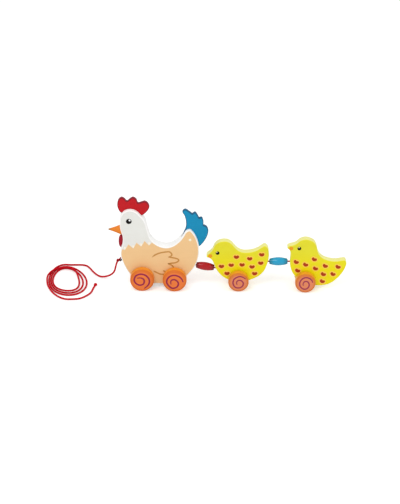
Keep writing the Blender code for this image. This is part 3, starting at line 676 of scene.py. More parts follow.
def spread(tree, value, low, high, to_low=0.0, to_high=1.0):
    return add_node(tree, "ShaderNodeMapRange", {
        "Value": value, "From Min": low, "From Max": high, "To Min": to_low, "To Max": to_high,
    }).outputs[0]


def object_place(tree):
    return add_node(tree, "ShaderNodeTexCoord").outputs["Object"]


def place_along(tree, axis):
    """Where a point of the surface is along X, Y or Z, for axis 0, 1 or 2."""
    return add_node(tree, "ShaderNodeSeparateXYZ", {0: object_place(tree)}).outputs[axis]


def new_group(name, inputs):
    """A node group that puts out a look: a colour, a roughness and a height. An input is a colour where the
    value that it starts with is one, and a number otherwise."""
    color, number = "NodeSocketColor", "NodeSocketFloat"
    tree = bpy.data.node_groups.new(name, "ShaderNodeTree")
    for socket, value in inputs.items():
        kind = color if isinstance(value, tuple) else number
        tree.interface.new_socket(socket, in_out="INPUT", socket_type=kind).default_value = value
    for socket, kind in (("Colour", color), ("Roughness", number), ("Height", number)):
        tree.interface.new_socket(socket, in_out="OUTPUT", socket_type=kind)
    return tree, tree.nodes.new("NodeGroupInput").outputs, tree.nodes.new("NodeGroupOutput").inputs


def put_out(tree, sockets, colour, roughness, height):
    for socket, value in (("Colour", colour), ("Roughness", roughness), ("Height", height)):
        tree.links.new(value, sockets[socket])
    return tree


def paint_group():
    """Paint on wood. Deeper in the board than 'Face from' the paint is the edge's, outside it the face's, and
    the print's where its share says so. An edge colour other than the face's is painted top light on the hen,
    the chicks and the wheels' treads, and painted shade on the comb and the tail; the print colour is painted
    shade at the beads' ends and the wheels' rims. Its tone is darkened by long grain and by broad patches,
    and fine pores break the gloss."""
    white = (1, 1, 1, 1)
    tree, given, sockets = new_group("Paint on wood", {
        "Face": white, "Edge": white, "Face from": -1.0, "Face blend": 0.0001, "Print": white,
        "Print share": 0.0, "Grain tone": white, "Grain": 0.2, "Patches": 0.2, "Gloss low": 0.3,
        "Gloss high": 0.45,
    })
    place = object_place(tree)
    past_edge = math_node(
        tree, "SUBTRACT", math_node(tree, "ABSOLUTE", place_along(tree, 1)), given["Face from"],
    )
    before = math_node(tree, "MULTIPLY", given["Face blend"], -1)
    on_face = spread(tree, past_edge, before, given["Face blend"])
    paint = mix_colours(tree, on_face, given["Edge"], given["Face"])
    printed = math_node(tree, "MULTIPLY", on_face, given["Print share"])
    paint = mix_colours(tree, printed, paint, given["Print"])
    long = add_node(tree, "ShaderNodeMapping", {"Vector": place, "Scale": GRAIN_SCALE}).outputs[0]
    fibre = spread(tree, noise(tree, long, 1.0, 5, 0.6), 0.42, 0.72)
    patch = spread(tree, noise(tree, place, PATCH_SCALE, 3, 0.5), 0.35, 0.7)
    pores = noise(tree, place, PORE_SCALE, 2, 0.6)
    fibre_share = math_node(tree, "MULTIPLY", fibre, given["Grain"])
    patch_share = math_node(tree, "MULTIPLY", patch, given["Patches"])
    tone = mix_colours(tree, math_node(tree, "ADD", fibre_share, patch_share), white, given["Grain tone"])
    colour = mix_colours(tree, 1.0, paint, tone, "MULTIPLY")
    rough = spread(tree, patch, 0.0, 1.0, given["Gloss low"], given["Gloss high"])
    relief = math_node(
        tree, "ADD", math_node(tree, "MULTIPLY", fibre, 0.7), math_node(tree, "MULTIPLY", pores, 0.3),
    )
    return put_out(tree, sockets, colour, rough, relief)


def braid_group():
    """Braided cord on a UV map of turns round and metres along: crossing strands, with painted shade where
    they dip.
    """
    tree, given, sockets = new_group("Braided cord", {"Strand": (1, 0, 0, 1), "Valley": (0.2, 0, 0, 1)})
    place = add_node(tree, "ShaderNodeTexCoord").outputs["UV"]
    parts = add_node(tree, "ShaderNodeSeparateXYZ", {0: place})
    around = math_node(tree, "MULTIPLY", parts.outputs[0], BRAID_STRANDS * 2 * math.pi)
    along = math_node(tree, "MULTIPLY", parts.outputs[1], 2 * math.pi / BRAID_PITCH)
    waves = []
    for operation in ("ADD", "SUBTRACT"):
        angle = math_node(tree, operation, around, along)
        waves.append(math_node(tree, "ABSOLUTE", math_node(tree, "SINE", angle)))
    height = math_node(tree, "MAXIMUM", *waves)
    fuzz = noise(tree, object_place(tree), FUZZ_SCALE, 2, 0.7)
    colour = mix_colours(tree, spread(tree, height, 0.55, 1.0, 1.0, 0.0), given["Strand"], given["Valley"])
    rough = spread(tree, fuzz, 0.3, 0.7, 0.62, 0.88)
    relief = math_node(tree, "ADD", height, math_node(tree, "MULTIPLY", fuzz, 0.3))
    return put_out(tree, sockets, colour, rough, relief)


PAINT = paint_group()
BRAID = braid_group()


def new_material(name, values):
    """A material with these values on its shader's own sockets."""
    made = bpy.data.materials.new(name)
    made.use_nodes = True
    shader = made.node_tree.nodes["Principled BSDF"]
    for socket, value in values.items():
        shader.inputs[socket].default_value = value
    return made, made.node_tree, shader


def finish_material(name, group, values, relief, depth, specular, coat=0.0, print_and_shade_share=None):
    """A material whose colour, roughness and bump come from the group. The share of the print colour, which
    is print on some finishes and painted shade on others, is a function that adds its own nodes and returns
    the value that the group takes."""
    made, tree, shader = new_material(
        name, {"Coat Weight": coat, "Coat Roughness": COAT_ROUGHNESS, "Specular IOR Level": specular},
    )
    look = add_node(tree, "ShaderNodeGroup", values, node_tree=group)
    if print_and_shade_share:
        tree.links.new(print_and_shade_share(tree), look.inputs["Print share"])
    bump = add_node(tree, "ShaderNodeBump", {
        "Strength": relief, "Distance": depth, "Height": look.outputs["Height"],
    })
    for socket, value in (
        ("Base Color", look.outputs["Colour"]), ("Roughness", look.outputs["Roughness"]),
        ("Normal", bump.outputs[0]),
    ):
        tree.links.new(value, shader.inputs[socket])
    made.diffuse_color = values.get("Face") or values["Strand"]
    return made


def painted(name, face, tone=(0.88, 0.84, 0.80), grain=0.3, patches=0.3, gloss=(0.34, 0.48), relief=0.25,
            depth=0.0003, specular=0.2, coat=0.0, edge=None, face_from=(-1.0, 0.0001), printed=None,
            print_and_shade_share=None):
    """A painted wood finish. The tone is the share of the paint's colour that is left where the grain and
    the patches are at their strongest."""
    values = {
        "Face": linear(*face), "Edge": linear(*(edge or face)), "Print": linear(*(printed or face)),
        "Face from": face_from[0], "Face blend": face_from[1], "Grain tone": (*tone, 1), "Grain": grain,
        "Patches": patches, "Gloss low": gloss[0], "Gloss high": gloss[1],
    }
    return finish_material(name, PAINT, values, relief, depth, specular, coat, print_and_shade_share)


def axis_share(axis, start, end):
    """0 at the first place along the axis and before it, and 1 from the other on."""
    return lambda tree: spread(tree, place_along(tree, axis), start, end)


def bead_end_shade_share(number):
    """0 over the middle of a link's bead, rising to 1 at both of its ends, where the darker colour is painted
    shade.
    """
    front, rear = (float(joint_place(f"link_{number}_pitch_{end}")[0]) for end in ("front", "rear"))

    def share(tree):
        away = math_node(
            tree, "ABSOLUTE", math_node(tree, "SUBTRACT", place_along(tree, 0), (front + rear) / 2),
        )
        return spread(tree, away, BEAD_END_SHADE_SPAN[0] * (rear - front), BEAD_END_SHADE_SPAN[1] * (rear - front))
    return share


def wheel_rim_shade_share(centre, radius):
    """0 over the middle of a wheel's face, rising to 1 at its rim, where the darker colour is painted shade.
    """
    def share(tree):
        shift = add_node(tree, "ShaderNodeMapping", {
            "Vector": object_place(tree), "Location": (-centre[0], 0, -centre[2]), "Scale": (1, 0, 1),
        }).outputs[0]
        distance = add_node(tree, "ShaderNodeVectorMath", {0: shift}, operation="LENGTH").outputs["Value"]
        return spread(tree, distance, RIM_SHADE_SPAN[0] * radius, RIM_SHADE_SPAN[1] * radius)
    return share


def feather_share(tree):
    """1 below the feathered edge and 0 above it, with a soft step. A float curve gives the edge's height
    over X."""
    (x_low, x_high), (z_low, z_high) = FEATHER_RANGE
    edge = tree.nodes.new("ShaderNodeFloatCurve")
    curve = edge.mapping.curves[0]
    spots = [((x - x_low) / (x_high - x_low), (z - z_low) / (z_high - z_low)) for x, z in FEATHER_EDGE]
    curve.points[0].location, curve.points[1].location = spots[0], spots[-1]
    for spot in spots[1:-1]:
        curve.points.new(*spot)
    for point in curve.points:
        point.handle_type = "VECTOR"
    edge.mapping.update()
    tree.links.new(spread(tree, place_along(tree, 0), HEN.x + x_low, HEN.x + x_high), edge.inputs["Value"])
    height = spread(tree, edge.outputs[0], 0, 1, HEN.z + z_low, HEN.z + z_high)
    above = math_node(tree, "SUBTRACT", height, place_along(tree, 2))
    return spread(tree, above, -FEATHER_SOFTNESS, FEATHER_SOFTNESS)


def face_colour_from(thickness, print_depth):
    """Where a board's face colour begins, from the board's middle, and half of the width of its step into the
    edge colour: painted top light on the hen and the chicks, painted shade on the comb and the tail.
    """
    depth, blend = print_depth
    return thickness / 2 - depth, blend


# The board is one white paint. Its edge colour is whiter than its face as painted top light; the tan is print
# below the feathered edge.
HEN_PAINT = painted(
    "white paint and tan print", (233, 234, 229), grain=0.12, patches=0.15, edge=(253, 253, 251),
    face_from=face_colour_from(HEN_THICKNESS, HEN_PRINT_AND_LIT_EDGE_DEPTH), printed=(242, 201, 146),
    print_and_shade_share=feather_share,
)
# Yellow paint whose pale edge colour is painted top light. Towards the top its yellow turns paler and
# greener.
CHICK_PAINT = painted(
    "yellow paint", (240, 228, 6), (0.94, 0.89, 0.84), 0.25, 0.4, edge=(244, 242, 150),
    face_from=face_colour_from(CHICK_THICKNESS, CHICK_LIT_EDGE_DEPTH), printed=(231, 225, 46),
    print_and_shade_share=axis_share(2, *CHICK_PALER_TOP),
)
CREAM_PRINT = painted("cream print", (254, 246, 226), grain=0.1, patches=0.1)
BROWN_PRINT = painted("brown print", (200, 144, 74))
# The comb's darker edge colour is painted shade along its rounded rim.
RED_PAINT = painted(
    "red paint", (194, 14, 26), edge=(134, 8, 32),
    face_from=face_colour_from(INSERT_THICKNESS, INSERT_SHADED_EDGE_DEPTH),
)
# The wattle's red is darkened as painted shade from the beak above it.
SHADED_WATTLE_RED = painted("dark red paint", (160, 10, 38))
# The tail's darker edge colour is painted shade along its rounded rim.
BLUE_PAINT = painted(
    "blue paint", (10, 142, 188), edge=(14, 90, 128),
    face_from=face_colour_from(INSERT_THICKNESS, INSERT_SHADED_EDGE_DEPTH),
)
BEAK_MIDDLE, BEAK_HALF = box_of("hen_beak")
BEAK_TIP = BEAK_MIDDLE[0] - BEAK_HALF[0]
BEAK_PAINT = painted(
    "beak paint", (238, 136, 44), printed=(172, 124, 66),
    print_and_shade_share=axis_share(0, *(BEAK_TIP + BEAK_DARK_TIP)),
)
HEART_PRINT = painted("heart print", (174, 56, 0))
HALO_PRINT = painted("heart halo print", (255, 210, 82))
BLACK_PRINT = painted("black print", (10, 9, 9), gloss=(0.4, 0.55), specular=0.1)
HIGHLIGHT_PRINT = painted("white print", (248, 248, 248), grain=0.1, patches=0.1)
CHICK_HIGHLIGHT_PRINT = painted("cream highlight print", (226, 214, 160), grain=0.1, patches=0.1)
SPIRAL_PRINT = painted("purple print", (146, 28, 74))
PALE_SPIRAL_PRINT = painted("pale purple print", (156, 50, 84))
BEAK_MARK_PRINT = painted("orange print", (240, 160, 30))
# The beads' darker ends are painted shade on the lacquer.
RED_LACQUER = painted(
    "red lacquer", (178, 2, 14), gloss=(0.16, 0.26), relief=0.1, coat=0.55, printed=(98, 0, 12),
    print_and_shade_share=bead_end_shade_share(1), specular=0.05,
)
BLUE_LACQUER = painted(
    "blue lacquer", (30, 160, 204), gloss=(0.16, 0.26), relief=0.1, coat=0.55, printed=(12, 106, 132),
    print_and_shade_share=bead_end_shade_share(2), specular=0.05,
)
BARE_WOOD = painted("bare wood", (232, 206, 160), (0.72, 0.60, 0.46), 0.75, 0.3, (0.5, 0.7), 0.6)
CREAM_WOOD = painted("cream dowel end", (254, 248, 222), (0.94, 0.88, 0.76), 0.3, 0.2, (0.4, 0.6), 0.4)
# The screw eye's near-black is dark steel and painted shade together.
SHADED_STEEL = painted("dark steel", (20, 16, 14), (0.5, 0.45, 0.45), 0.5, 0.4, (0.4, 0.55), 0.2, 0.0001, 0.06)
# The braid's darker valley colour is painted shade where the strands dip.
CORD = finish_material(
    "red cord", BRAID, {"Strand": linear(220, 10, 32), "Valley": linear(160, 2, 20)}, 0.5, 0.0002, 0.08,
)

# Each wheel's face, its rim, darkened as painted shade, and its tread, lightened as painted top light
HEN_WHEEL_COLOURS = ((238, 126, 60), (222, 114, 38), (242, 152, 44))
CHICK_WHEEL_COLOURS = ((230, 138, 96), (218, 122, 50), (240, 166, 42))


# Camera

def make_camera():
    """Looks at the target from the front, raised by the elevation and rolled about its own axis."""
    camera = added("camera", bpy.data.cameras.new("camera"))
    camera.data.sensor_fit = "HORIZONTAL"
    camera.data.sensor_width = SENSOR_WIDTH
    camera.data.lens = FOCAL_PIXELS / PHOTO_WIDTH * SENSOR_WIDTH
    back = Vector((0, -math.cos(CAMERA_ELEVATION), math.sin(CAMERA_ELEVATION)))
    camera.location = Vector(CAMERA_TARGET) + back * CAMERA_DISTANCE
    turn = Matrix.Rotation(math.pi / 2 - CAMERA_ELEVATION, 3, "X") @ Matrix.Rotation(CAMERA_ROLL, 3, "Z")
    camera.rotation_euler = turn.to_euler()
    bpy.context.scene.camera = camera


# Pull cord

def on_floor(points):
    """From the floor below the middle of the hen's axles to the frame's own axes."""
    return np.array(points) + np.array((HEN.x, 0, 0))


def eased(angle, first, values):
    """Values that are half a turn apart from the first angle on, joined by half waves of a cosine."""
    values = np.array(values)
    spot = np.clip((angle - first) / math.pi, 0, len(values) - 1)
    low = np.minimum(spot.astype(int), len(values) - 2)
    share = (1 - np.cos(math.pi * (spot - low))) / 2
    return values[low] * (1 - share) + values[low + 1] * share


def coil_turns():
    """Loose turns on the floor: a leaning ellipse whose reach to each side changes every half turn."""
    angle = np.arange(COIL_START, COIL_END, COIL_STEP)
    y = eased(angle, math.pi / 2, COIL_FAR_NEAR) * np.sin(angle)
    x = eased(angle, math.pi, COIL_LEFT_RIGHT) * np.cos(angle) + COIL_LEAN * y
    height = np.full(len(angle), FLOOR_CORD_HEIGHT)
    return on_floor(np.column_stack((x + COIL_MIDDLE[0], y + COIL_MIDDLE[1], height)))


def lifted(path):
    """Where a later stretch passes over an earlier one it rises by a diameter, in a long low hump: half a
    cosine wave up to a short level top, and half a wave down."""
    apart = np.linalg.norm(path[:, None, :2] - path[None, :, :2], axis=2)
    order = np.arange(len(path))
    later = order[:, None] - order[None, :] > OWN_STRETCH / CORD_STEP
    low = path[:, 2] < FLOOR_STRETCH_BELOW
    over = np.any((apart < HUMP_HEIGHT) & later & low[None, :], axis=1) & low
    away = np.abs(order[:, None] - order[over][None, :]).min(axis=1) * CORD_STEP
    hump = np.clip(1 - np.maximum(away - HUMP_TOP, 0) / HUMP_FOOT, 0, 1)
    path = path.copy()
    path[:, 2] += HUMP_HEIGHT * (1 - np.cos(math.pi * hump)) / 2
    return path


def braid_relief(along, around):
    """Two crossing sets of strands stand a little proud of the cord: the greater of two sine waves, wound on
    it each way, says how much."""
    turn, run = RELIEF_WAVES * around, math.pi * along / RELIEF_PITCH
    first, second = np.abs(np.sin(turn + run)), np.abs(np.sin(turn - run))
    return RELIEF_LOW + RELIEF_RISE * np.maximum(first, second)


def add_uv(mesh, path, sides):
    """A UV map of turns round the cord and metres along it, for a tube made by rings of this many points."""
    run = run_along(path)
    layer = mesh.uv_layers.new(name="along")
    corners = np.zeros(len(mesh.loops), dtype=int)
    mesh.loops.foreach_get("vertex_index", corners)
    ring, side = corners // sides, corners % sides
    values = np.column_stack((side / sides, run[np.minimum(ring, len(run) - 1)]))
    starts = np.zeros(len(mesh.polygons), dtype=int)
    totals = np.zeros(len(mesh.polygons), dtype=int)
    mesh.polygons.foreach_get("loop_start", starts)
    mesh.polygons.foreach_get("loop_total", totals)
    quads = starts[totals == 4][:, None] + np.arange(4)
    crosses_seam = np.ptp(side[quads], axis=1) > 1
    wraps = quads[crosses_seam[:, None] & (side[quads] == 0)]
    values[wraps, 0] = 1
    layer.data.foreach_set("uv", values.astype(np.float32).ravel())


def cord_piece(name, path, radius, body, replaced, sides=CORD_SIDES):
    """A braided cord along the path, with a UV map for its braid."""
    piece = new_piece(name, tube(path, radius, sides, braid_relief), body, CORD, replaced)
    add_uv(piece.data, path, sides)
    return piece


def blunt(path, radius):
    """Radii along the path that round off both ends like a ball."""
    run = run_along(path)
    near_end = np.minimum(run, run[-1] - run)
    return radius * np.sqrt(np.clip(1 - (1 - np.minimum(near_end / radius, 1)) ** 2, 0.01, 1))


def make_end_knot():
    """A tight overhand knot: a trefoil, x = sin t + 2 sin 2t, y = cos t - 2 cos 2t, z = -1.2 sin 3t."""
    t = math.pi * np.linspace(0, 2, 90)
    knot = np.column_stack((
        np.sin(t) + 2 * np.sin(2 * t), np.cos(t) - 2 * np.cos(2 * t), -1.2 * np.sin(3 * t),
    ))
    turn, side = math.cos(END_KNOT_TURN), math.sin(END_KNOT_TURN)
    knot = knot * END_KNOT_SCALE @ np.array(((turn, side, 0), (-side, turn, 0), (0, 0, 1)))
    path = knot + on_floor(END_KNOT_PLACE)
    return cord_piece("pull_cord_end_tie", path, END_KNOT_TUBE, "hen", ["pull_cord_end_knot"], KNOT_SIDES)


def make_tie(centre, reach, knot_end, fall):
    """The cord's open loop through the screw eye, its wraps round its own start, a helix, and a short end."""
    t = np.linspace(*LOOP_ENDS, 40)
    loop = np.column_stack((np.cos(t) * reach, np.sin(t) * reach, 0 * t)) + centre
    t = np.linspace(0, 1, 60)[:, None]
    side = np.array((0.0, 1.0, 0.0))
    up = np.cross(side, fall)
    turn = t * WRAP_TURNS * 2 * math.pi
    wrap = (
        knot_end + fall * (WRAP_RUN * t + WRAP_START)
        + WRAP_RADIUS * (np.cos(turn) * side + np.sin(turn) * up)
    )
    stub = smooth_path(knot_end + np.array(KNOT_STUB), KNOT_STEP)
    shape = joined([tube(line, blunt(line, KNOT_TUBE_RADIUS), KNOT_SIDES) for line in (loop, wrap, stub)])
    return new_piece("pull_cord_tie", shape, "hen", CORD, ["pull_cord_knot"])


def make_pull_cord():
    """One cord from the screw eye's knot to the end knot. Its route is blended a few times: each point moves
    halfway to the middle of its neighbours."""
    centre, half = box_of("pull_cord_knot")
    reach = half[0] - KNOT_TUBE_RADIUS
    knot_end = centre - (reach, 0, 0)
    fall = np.array((-math.cos(LEAD_FALL), 0, -math.sin(LEAD_FALL)))
    start = knot_end + fall * (KNOT_TUBE_RADIUS + 2 * FIT)
    coil = coil_turns()
    route = np.vstack((
        smooth_path(np.vstack((start, on_floor(LEAD_ROUTE), coil[:1])), ROUTE_STEP)[:-1],
        coil[:-1],
        smooth_path(np.vstack((coil[-1:], on_floor(TAIL_ROUTE))), ROUTE_STEP),
    ))
    path = even_steps(route, CORD_STEP)
    for _ in range(ROUTE_BLENDS):
        path[1:-1] = path[1:-1] * 0.5 + (path[:-2] + path[2:]) * 0.25
    path = lifted(path)
    end = make_end_knot()
    tie = make_tie(centre, reach, knot_end, fall)
    nodes = ["pull_cord_lead", "pull_cord_coil", "pull_cord_tail"]
    cord = cord_piece("pull_cord", path, PULL_CORD_RADIUS, "hen", nodes)


# Hen

def sloped(origin, angle, along, up):
    """A point of the board's plane, this far along and above a line through the origin."""
    turn, lift = math.cos(angle), math.sin(angle)
    return (origin[0] + along * turn - up * lift, origin[1] + along * lift + up * turn)


def slot_cutter(origin, angle, floor):
    """A slot for an insert, open upward: its floor lies along the line, this far above it."""
    reach = 0.05
    half = INSERT_THICKNESS / 2 + FIT
    corners = ((-reach, floor), (reach, floor), (reach, reach), (-reach, reach))
    return plate(np.array([sloped(origin, angle, *spot) for spot in corners]), -half, half, HEN)


def round_cutter(origin, axis, radius, depth, outside=0.006):
    """A round hole: a cylinder that goes this deep along the axis and begins outside the mouth."""
    return turned([(0, -outside), (radius, -outside), (radius, depth), (0, depth)], origin, axis, 32)


def corner_eased(points):
    """The outline with each outward corner cut back, so that a small curve takes its place. Corners that
    stand close together are cut back less."""
    trim, side_share, peak_share, straight_from = 0.0016, 0.35, 0.22, 0.995
    outline = []
    for i, point in enumerate(points):
        spot = np.array(point[:2])
        before = np.array(points[i - 1][:2]) - spot
        after = np.array(points[(i + 1) % len(points)][:2]) - spot
        reach = min(trim, side_share * float(min(lengths_of(before), lengths_of(after))))
        before, after = unit(before), unit(after)
        convex = before[0] * after[1] - before[1] * after[0] > 0
        if len(point) == 2 or not convex or abs(np.dot(before, after)) > straight_from:
            outline.append(point)
            continue
        for way in (before, (before + after) * peak_share, after):
            outline.append(tuple(spot + way * reach))
    return outline


def tail_outline():
    """The tail's outline: its lobes, and a straight foot whose toe rises by the swing."""
    toe_rise = TAIL_TOE_LENGTH * math.tan(TAIL_SWING)
    spots = [
        *TAIL_TIPS, (TAIL_HEEL_LENGTH, -TAIL_FOOT_DEPTH), (0, -TAIL_FOOT_DEPTH),
        (-TAIL_TOE_LENGTH, toe_rise - TAIL_FOOT_DEPTH),
    ]
    front, *foot = [(*sloped(TAIL_PIN_PLACE, TAIL_SLOPE, *spot), CORNER) for spot in spots]
    return [front] + TAIL_TOP_OUTLINE + foot


def make_hen_board():
    shape = board(smooth_outline(HEN_OUTLINE), HEN_THICKNESS, BODY_ROUNDOVER, HEN)
    piece = new_piece("hen_board", shape, "hen", HEN_PAINT, ["hen_body"])
    slope = math.atan2(COMB_SEAT_REAR[1] - COMB_SEAT_FRONT[1], COMB_SEAT_REAR[0] - COMB_SEAT_FRONT[0])
    mouth = joint_place("link_1_yaw_front")
    link = joint_place("link_1_pitch_rear") - mouth
    cut(
        piece,
        slot_cutter(COMB_SEAT_FRONT, slope, -FIT),
        slot_cutter(TAIL_PIN_PLACE, TAIL_SLOPE, -TAIL_FOOT_DEPTH - FIT),
        round_cutter(mouth, -link, CORD_HOLE_RADIUS, CORD_HOLE_DEPTH),
    )


def oval(centre, half_size, sides=40, power=1.0):
    """x = a cos t, z = b sin t about the centre, each with its cosine or sine raised to the power. A power
    below 1 makes the oval fuller at its corners."""
    t = round_angles(sides)
    x, z = np.cos(t), np.sin(t)
    x, z = np.sign(x) * np.abs(x) ** power, np.sign(z) * np.abs(z) ** power
    return np.column_stack((centre[0] + half_size[0] * x, centre[1] + half_size[1] * z))


def drop(point, size):
    """A drop with its sharp end down, at the point: x = a sin t (1 + cos t) / 1.3, z = b (1 + cos t) / 2."""
    t = round_angles(40)
    x = size[0] * np.sin(t) * (1 + np.cos(t)) / 1.3
    return np.column_stack((point[0] + x, point[1] + size[1] * (1 + np.cos(t)) / 2))


def eye(centre, radius, offset, highlight, body):
    """A printed black eye and its highlight, on both faces. The offset is in parts of the eye's radius."""
    small = HIGHLIGHT_SHARE * radius
    spot = (centre[0] + offset[0] * radius, centre[1] + offset[1] * radius)
    prints(f"{body.name}_eye_print", [oval(centre, (radius, radius))], 3, BLACK_PRINT, body)
    prints(f"{body.name}_eye_highlight", [oval(spot, (small, small))], 4, highlight, body)


def make_hen_prints():
    prints("hen_feather_tips", [drop(spot, FEATHER_TIP_SIZE) for spot in FEATHER_TIPS], 1, CREAM_PRINT, HEN)
    lines = [smooth_path(points, PRINT_STEP) for points in WING_STROKES]
    strokes = [stroke(line, WING_LINE_WIDTH, side, HEN) for side in (-1, 1) for line in lines]
    new_piece("hen_wing_print", joined(strokes), "hen", BROWN_PRINT)
    eye(HEN_EYE, HEN_EYE_RADIUS, HEN_HIGHLIGHT_PLACE, HIGHLIGHT_PRINT, HEN)


def make_comb():
    loop = smooth_outline(corner_eased(COMB_OUTLINE), OUTLINE_STEP / 2)
    shape = board(loop, INSERT_THICKNESS, INSERT_ROUNDOVER, HEN)
    new_piece("hen_comb_board", shape, "hen", RED_PAINT, ["hen_comb"])


def make_tail():
    """The tail's board with its bore, and the dowel pin with a low dome at each end."""
    loop = smooth_outline(corner_eased(tail_outline()), OUTLINE_STEP / 2)
    shape = board(loop, INSERT_THICKNESS, INSERT_ROUNDOVER, HEN)
    piece = new_piece("hen_tail_board", shape, "hen_tail", BLUE_PAINT, ["hen_tail"])
    pin, radius = joint_place("hen_tail_swing"), TAIL_PIN_RADIUS
    cut(piece, round_cutter(pin, (0, 1, 0), radius + FIT, 0.02, 0.02))
    half, dome = HEN_THICKNESS / 2, TAIL_PIN_DOME
    profile = [(r * radius, -half - rise * dome) for r, rise in TAIL_PIN_DOME_SHAPE]
    profile += [(r, -y) for r, y in profile[::-1]]
    new_piece(
        "hen_tail_dowel", turned(profile, pin, (0, 1, 0), 32), "hen", CREAM_WOOD,
        ["hen_tail_pin"],
    )


def make_beak():
    """A cone with a softened base edge, faintly swollen flanks and a round tip, on its spigot."""
    radius, edge = BEAK_HALF[2], BEAK_EDGE_ROUND
    tip, length, turn = BEAK_TIP_RADIUS, BEAK_LENGTH, BEAK_FLANK_TURN
    wide, far = BEAK_FLANK_MIDDLE
    profile = [(0, -BEAK_SPIGOT_LENGTH), (BEAK_SPIGOT_RADIUS, -BEAK_SPIGOT_LENGTH), (BEAK_SPIGOT_RADIUS, 0)]
    profile += arc((radius - edge, edge), edge, -90, turn, 5) + [(wide * radius, far * length)]
    profile += arc((0, length - tip), tip, turn, 90, 6)[:-1] + [(0, length)]
    base = (BEAK_MIDDLE[0] + BEAK_HALF[0] - BEAK_SPIGOT_LENGTH, 0, BEAK_MIDDLE[2])
    new_piece(
        "hen_beak_cone", turned(profile, base, (-1, 0, 0)), "hen", BEAK_PAINT, ["hen_beak"],
    )


def make_wattle():
    middle, half = box_of("hen_wattle")
    centre = (middle[0] - HEN.x, middle[2] - HEN.z + WATTLE_LIFT / 2)
    loop = even_loop(oval(centre, (half[0], half[2] - WATTLE_LIFT / 2), 720, WATTLE_POWER), 72)
    shape = board(loop, WATTLE_THICKNESS, 2 * INSERT_ROUNDOVER, HEN)
    new_piece("hen_wattle_board", shape, "hen", SHADED_WATTLE_RED, ["hen_wattle"])


def make_screw_eye():
    """A bent wire: an open ring, a short neck, and a shank that goes into the chest, its radius a sine wave
    for the threads."""
    middle, half = box_of("pull_eye")
    wire, end = EYE_WIRE_RADIUS, middle[0] + half[0]
    radius = half[2] - wire
    centre = np.array((middle[0] - half[0] + radius + wire, 0, middle[2]))
    t = np.linspace(*EYE_RING_ENDS, 48)
    ring = np.column_stack((np.cos(t) * radius, 0 * t, np.sin(t) * radius)) + centre
    ring_size = blunt(ring, wire)
    ring_size[len(ring) // 2:] = wire
    start = centre + (radius + NECK_START[0], 0, NECK_START[1])
    neck = smooth_path([ring[-1], start, (end, 0, centre[2])], KNOT_STEP)
    wave = np.sin(neck[:, 0] / THREAD_PITCH * 2 * math.pi)
    threads = EYE_SHANK_RADIUS * (THREAD_MEAN + THREAD_WAVE * wave)
    neck_size = np.where(np.linspace(0, 1, len(neck)) > THREADS_FROM, threads, wire)
    shape = joined([tube(ring, ring_size, KNOT_SIDES), tube(neck, neck_size, KNOT_SIDES)])
    new_piece("screw_eye", shape, "hen", SHADED_STEEL, ["pull_eye"])


# Wheels

def wheel_profile(radius, width):
    """Half of a wheel's section: a flat face with a faint crown, a soft rim and a blind bore."""
    edge, bore, floor = WHEEL_EDGE_ROUND, WHEEL_BORE_RADIUS, width - WHEEL_BORE_DEPTH
    wider, deep = WHEEL_BORE_EASE
    profile = [(0, -WHEEL_CROWN), (radius * 0.5, -WHEEL_HALF_CROWN)]
    profile += arc((radius - edge, edge), edge, -90, 0, 7)
    profile += arc((radius - edge, width - edge), edge, 0, 90, 7)
    return profile + [(bore + wider, width), (bore, width - deep), (bore, floor), (0, floor)]


def make_wheels(axle, face, rim, tread, ink):
    """Both wheels of an axle and their spirals. The far wheel's face is the near one's mirror image."""
    body_name = f"{axle}s"
    joint = joint_place(f"{body_name}_turn")
    for end, side in (("near", -1), ("far", 1)):
        node = f"{axle}_{end}"
        middle, half = box_of(node)
        radius, outer = half[2], abs(middle[1] + side * half[1])
        # The tread's lighter colour is painted top light, and the rim's darker colour painted shade.
        paint = painted(
            f"{node} paint", face, edge=tread, face_from=(outer - 0.9 * WHEEL_EDGE_ROUND, WHEEL_FACE_BLEND),
            printed=rim, print_and_shade_share=wheel_rim_shade_share(joint, radius),
        )
        shape = turned(
            wheel_profile(radius, 2 * half[1]), (joint[0], side * outer, joint[2]), (0, -side, 0), 72,
        )
        new_piece(f"{node}_turned", shape, body_name, paint, [node])
        hub = Body(body_name, joint[0], joint[2], 0, 2 * (outer + WHEEL_HALF_CROWN), "orange_paint")
        line = smooth_path(np.array(SPIRALS[axle]) * radius, KNOT_STEP)
        mark = stroke(line, radius * SPIRAL_LINE_SHARE, side, hub, 0.6)
        new_piece(f"{node}_spiral", mark, body_name, ink)


# Chicks

def heart(centre, radii, notch):
    """A disc with a notch at the top and a faint point below. With t from the top,
    r = 1 - notch e^-(t / 0.5)^2 + 0.1 e^-((t - pi) / 0.5)^2."""
    t = np.linspace(-math.pi, math.pi, 56, endpoint=False)
    r = 1 - notch * np.exp(-(t / 0.5) ** 2) + 0.1 * np.exp(-((np.abs(t) - math.pi) / 0.5) ** 2)
    return np.column_stack((centre[0] + radii[0] * r * np.sin(t), centre[1] + radii[1] * r * np.cos(t)))


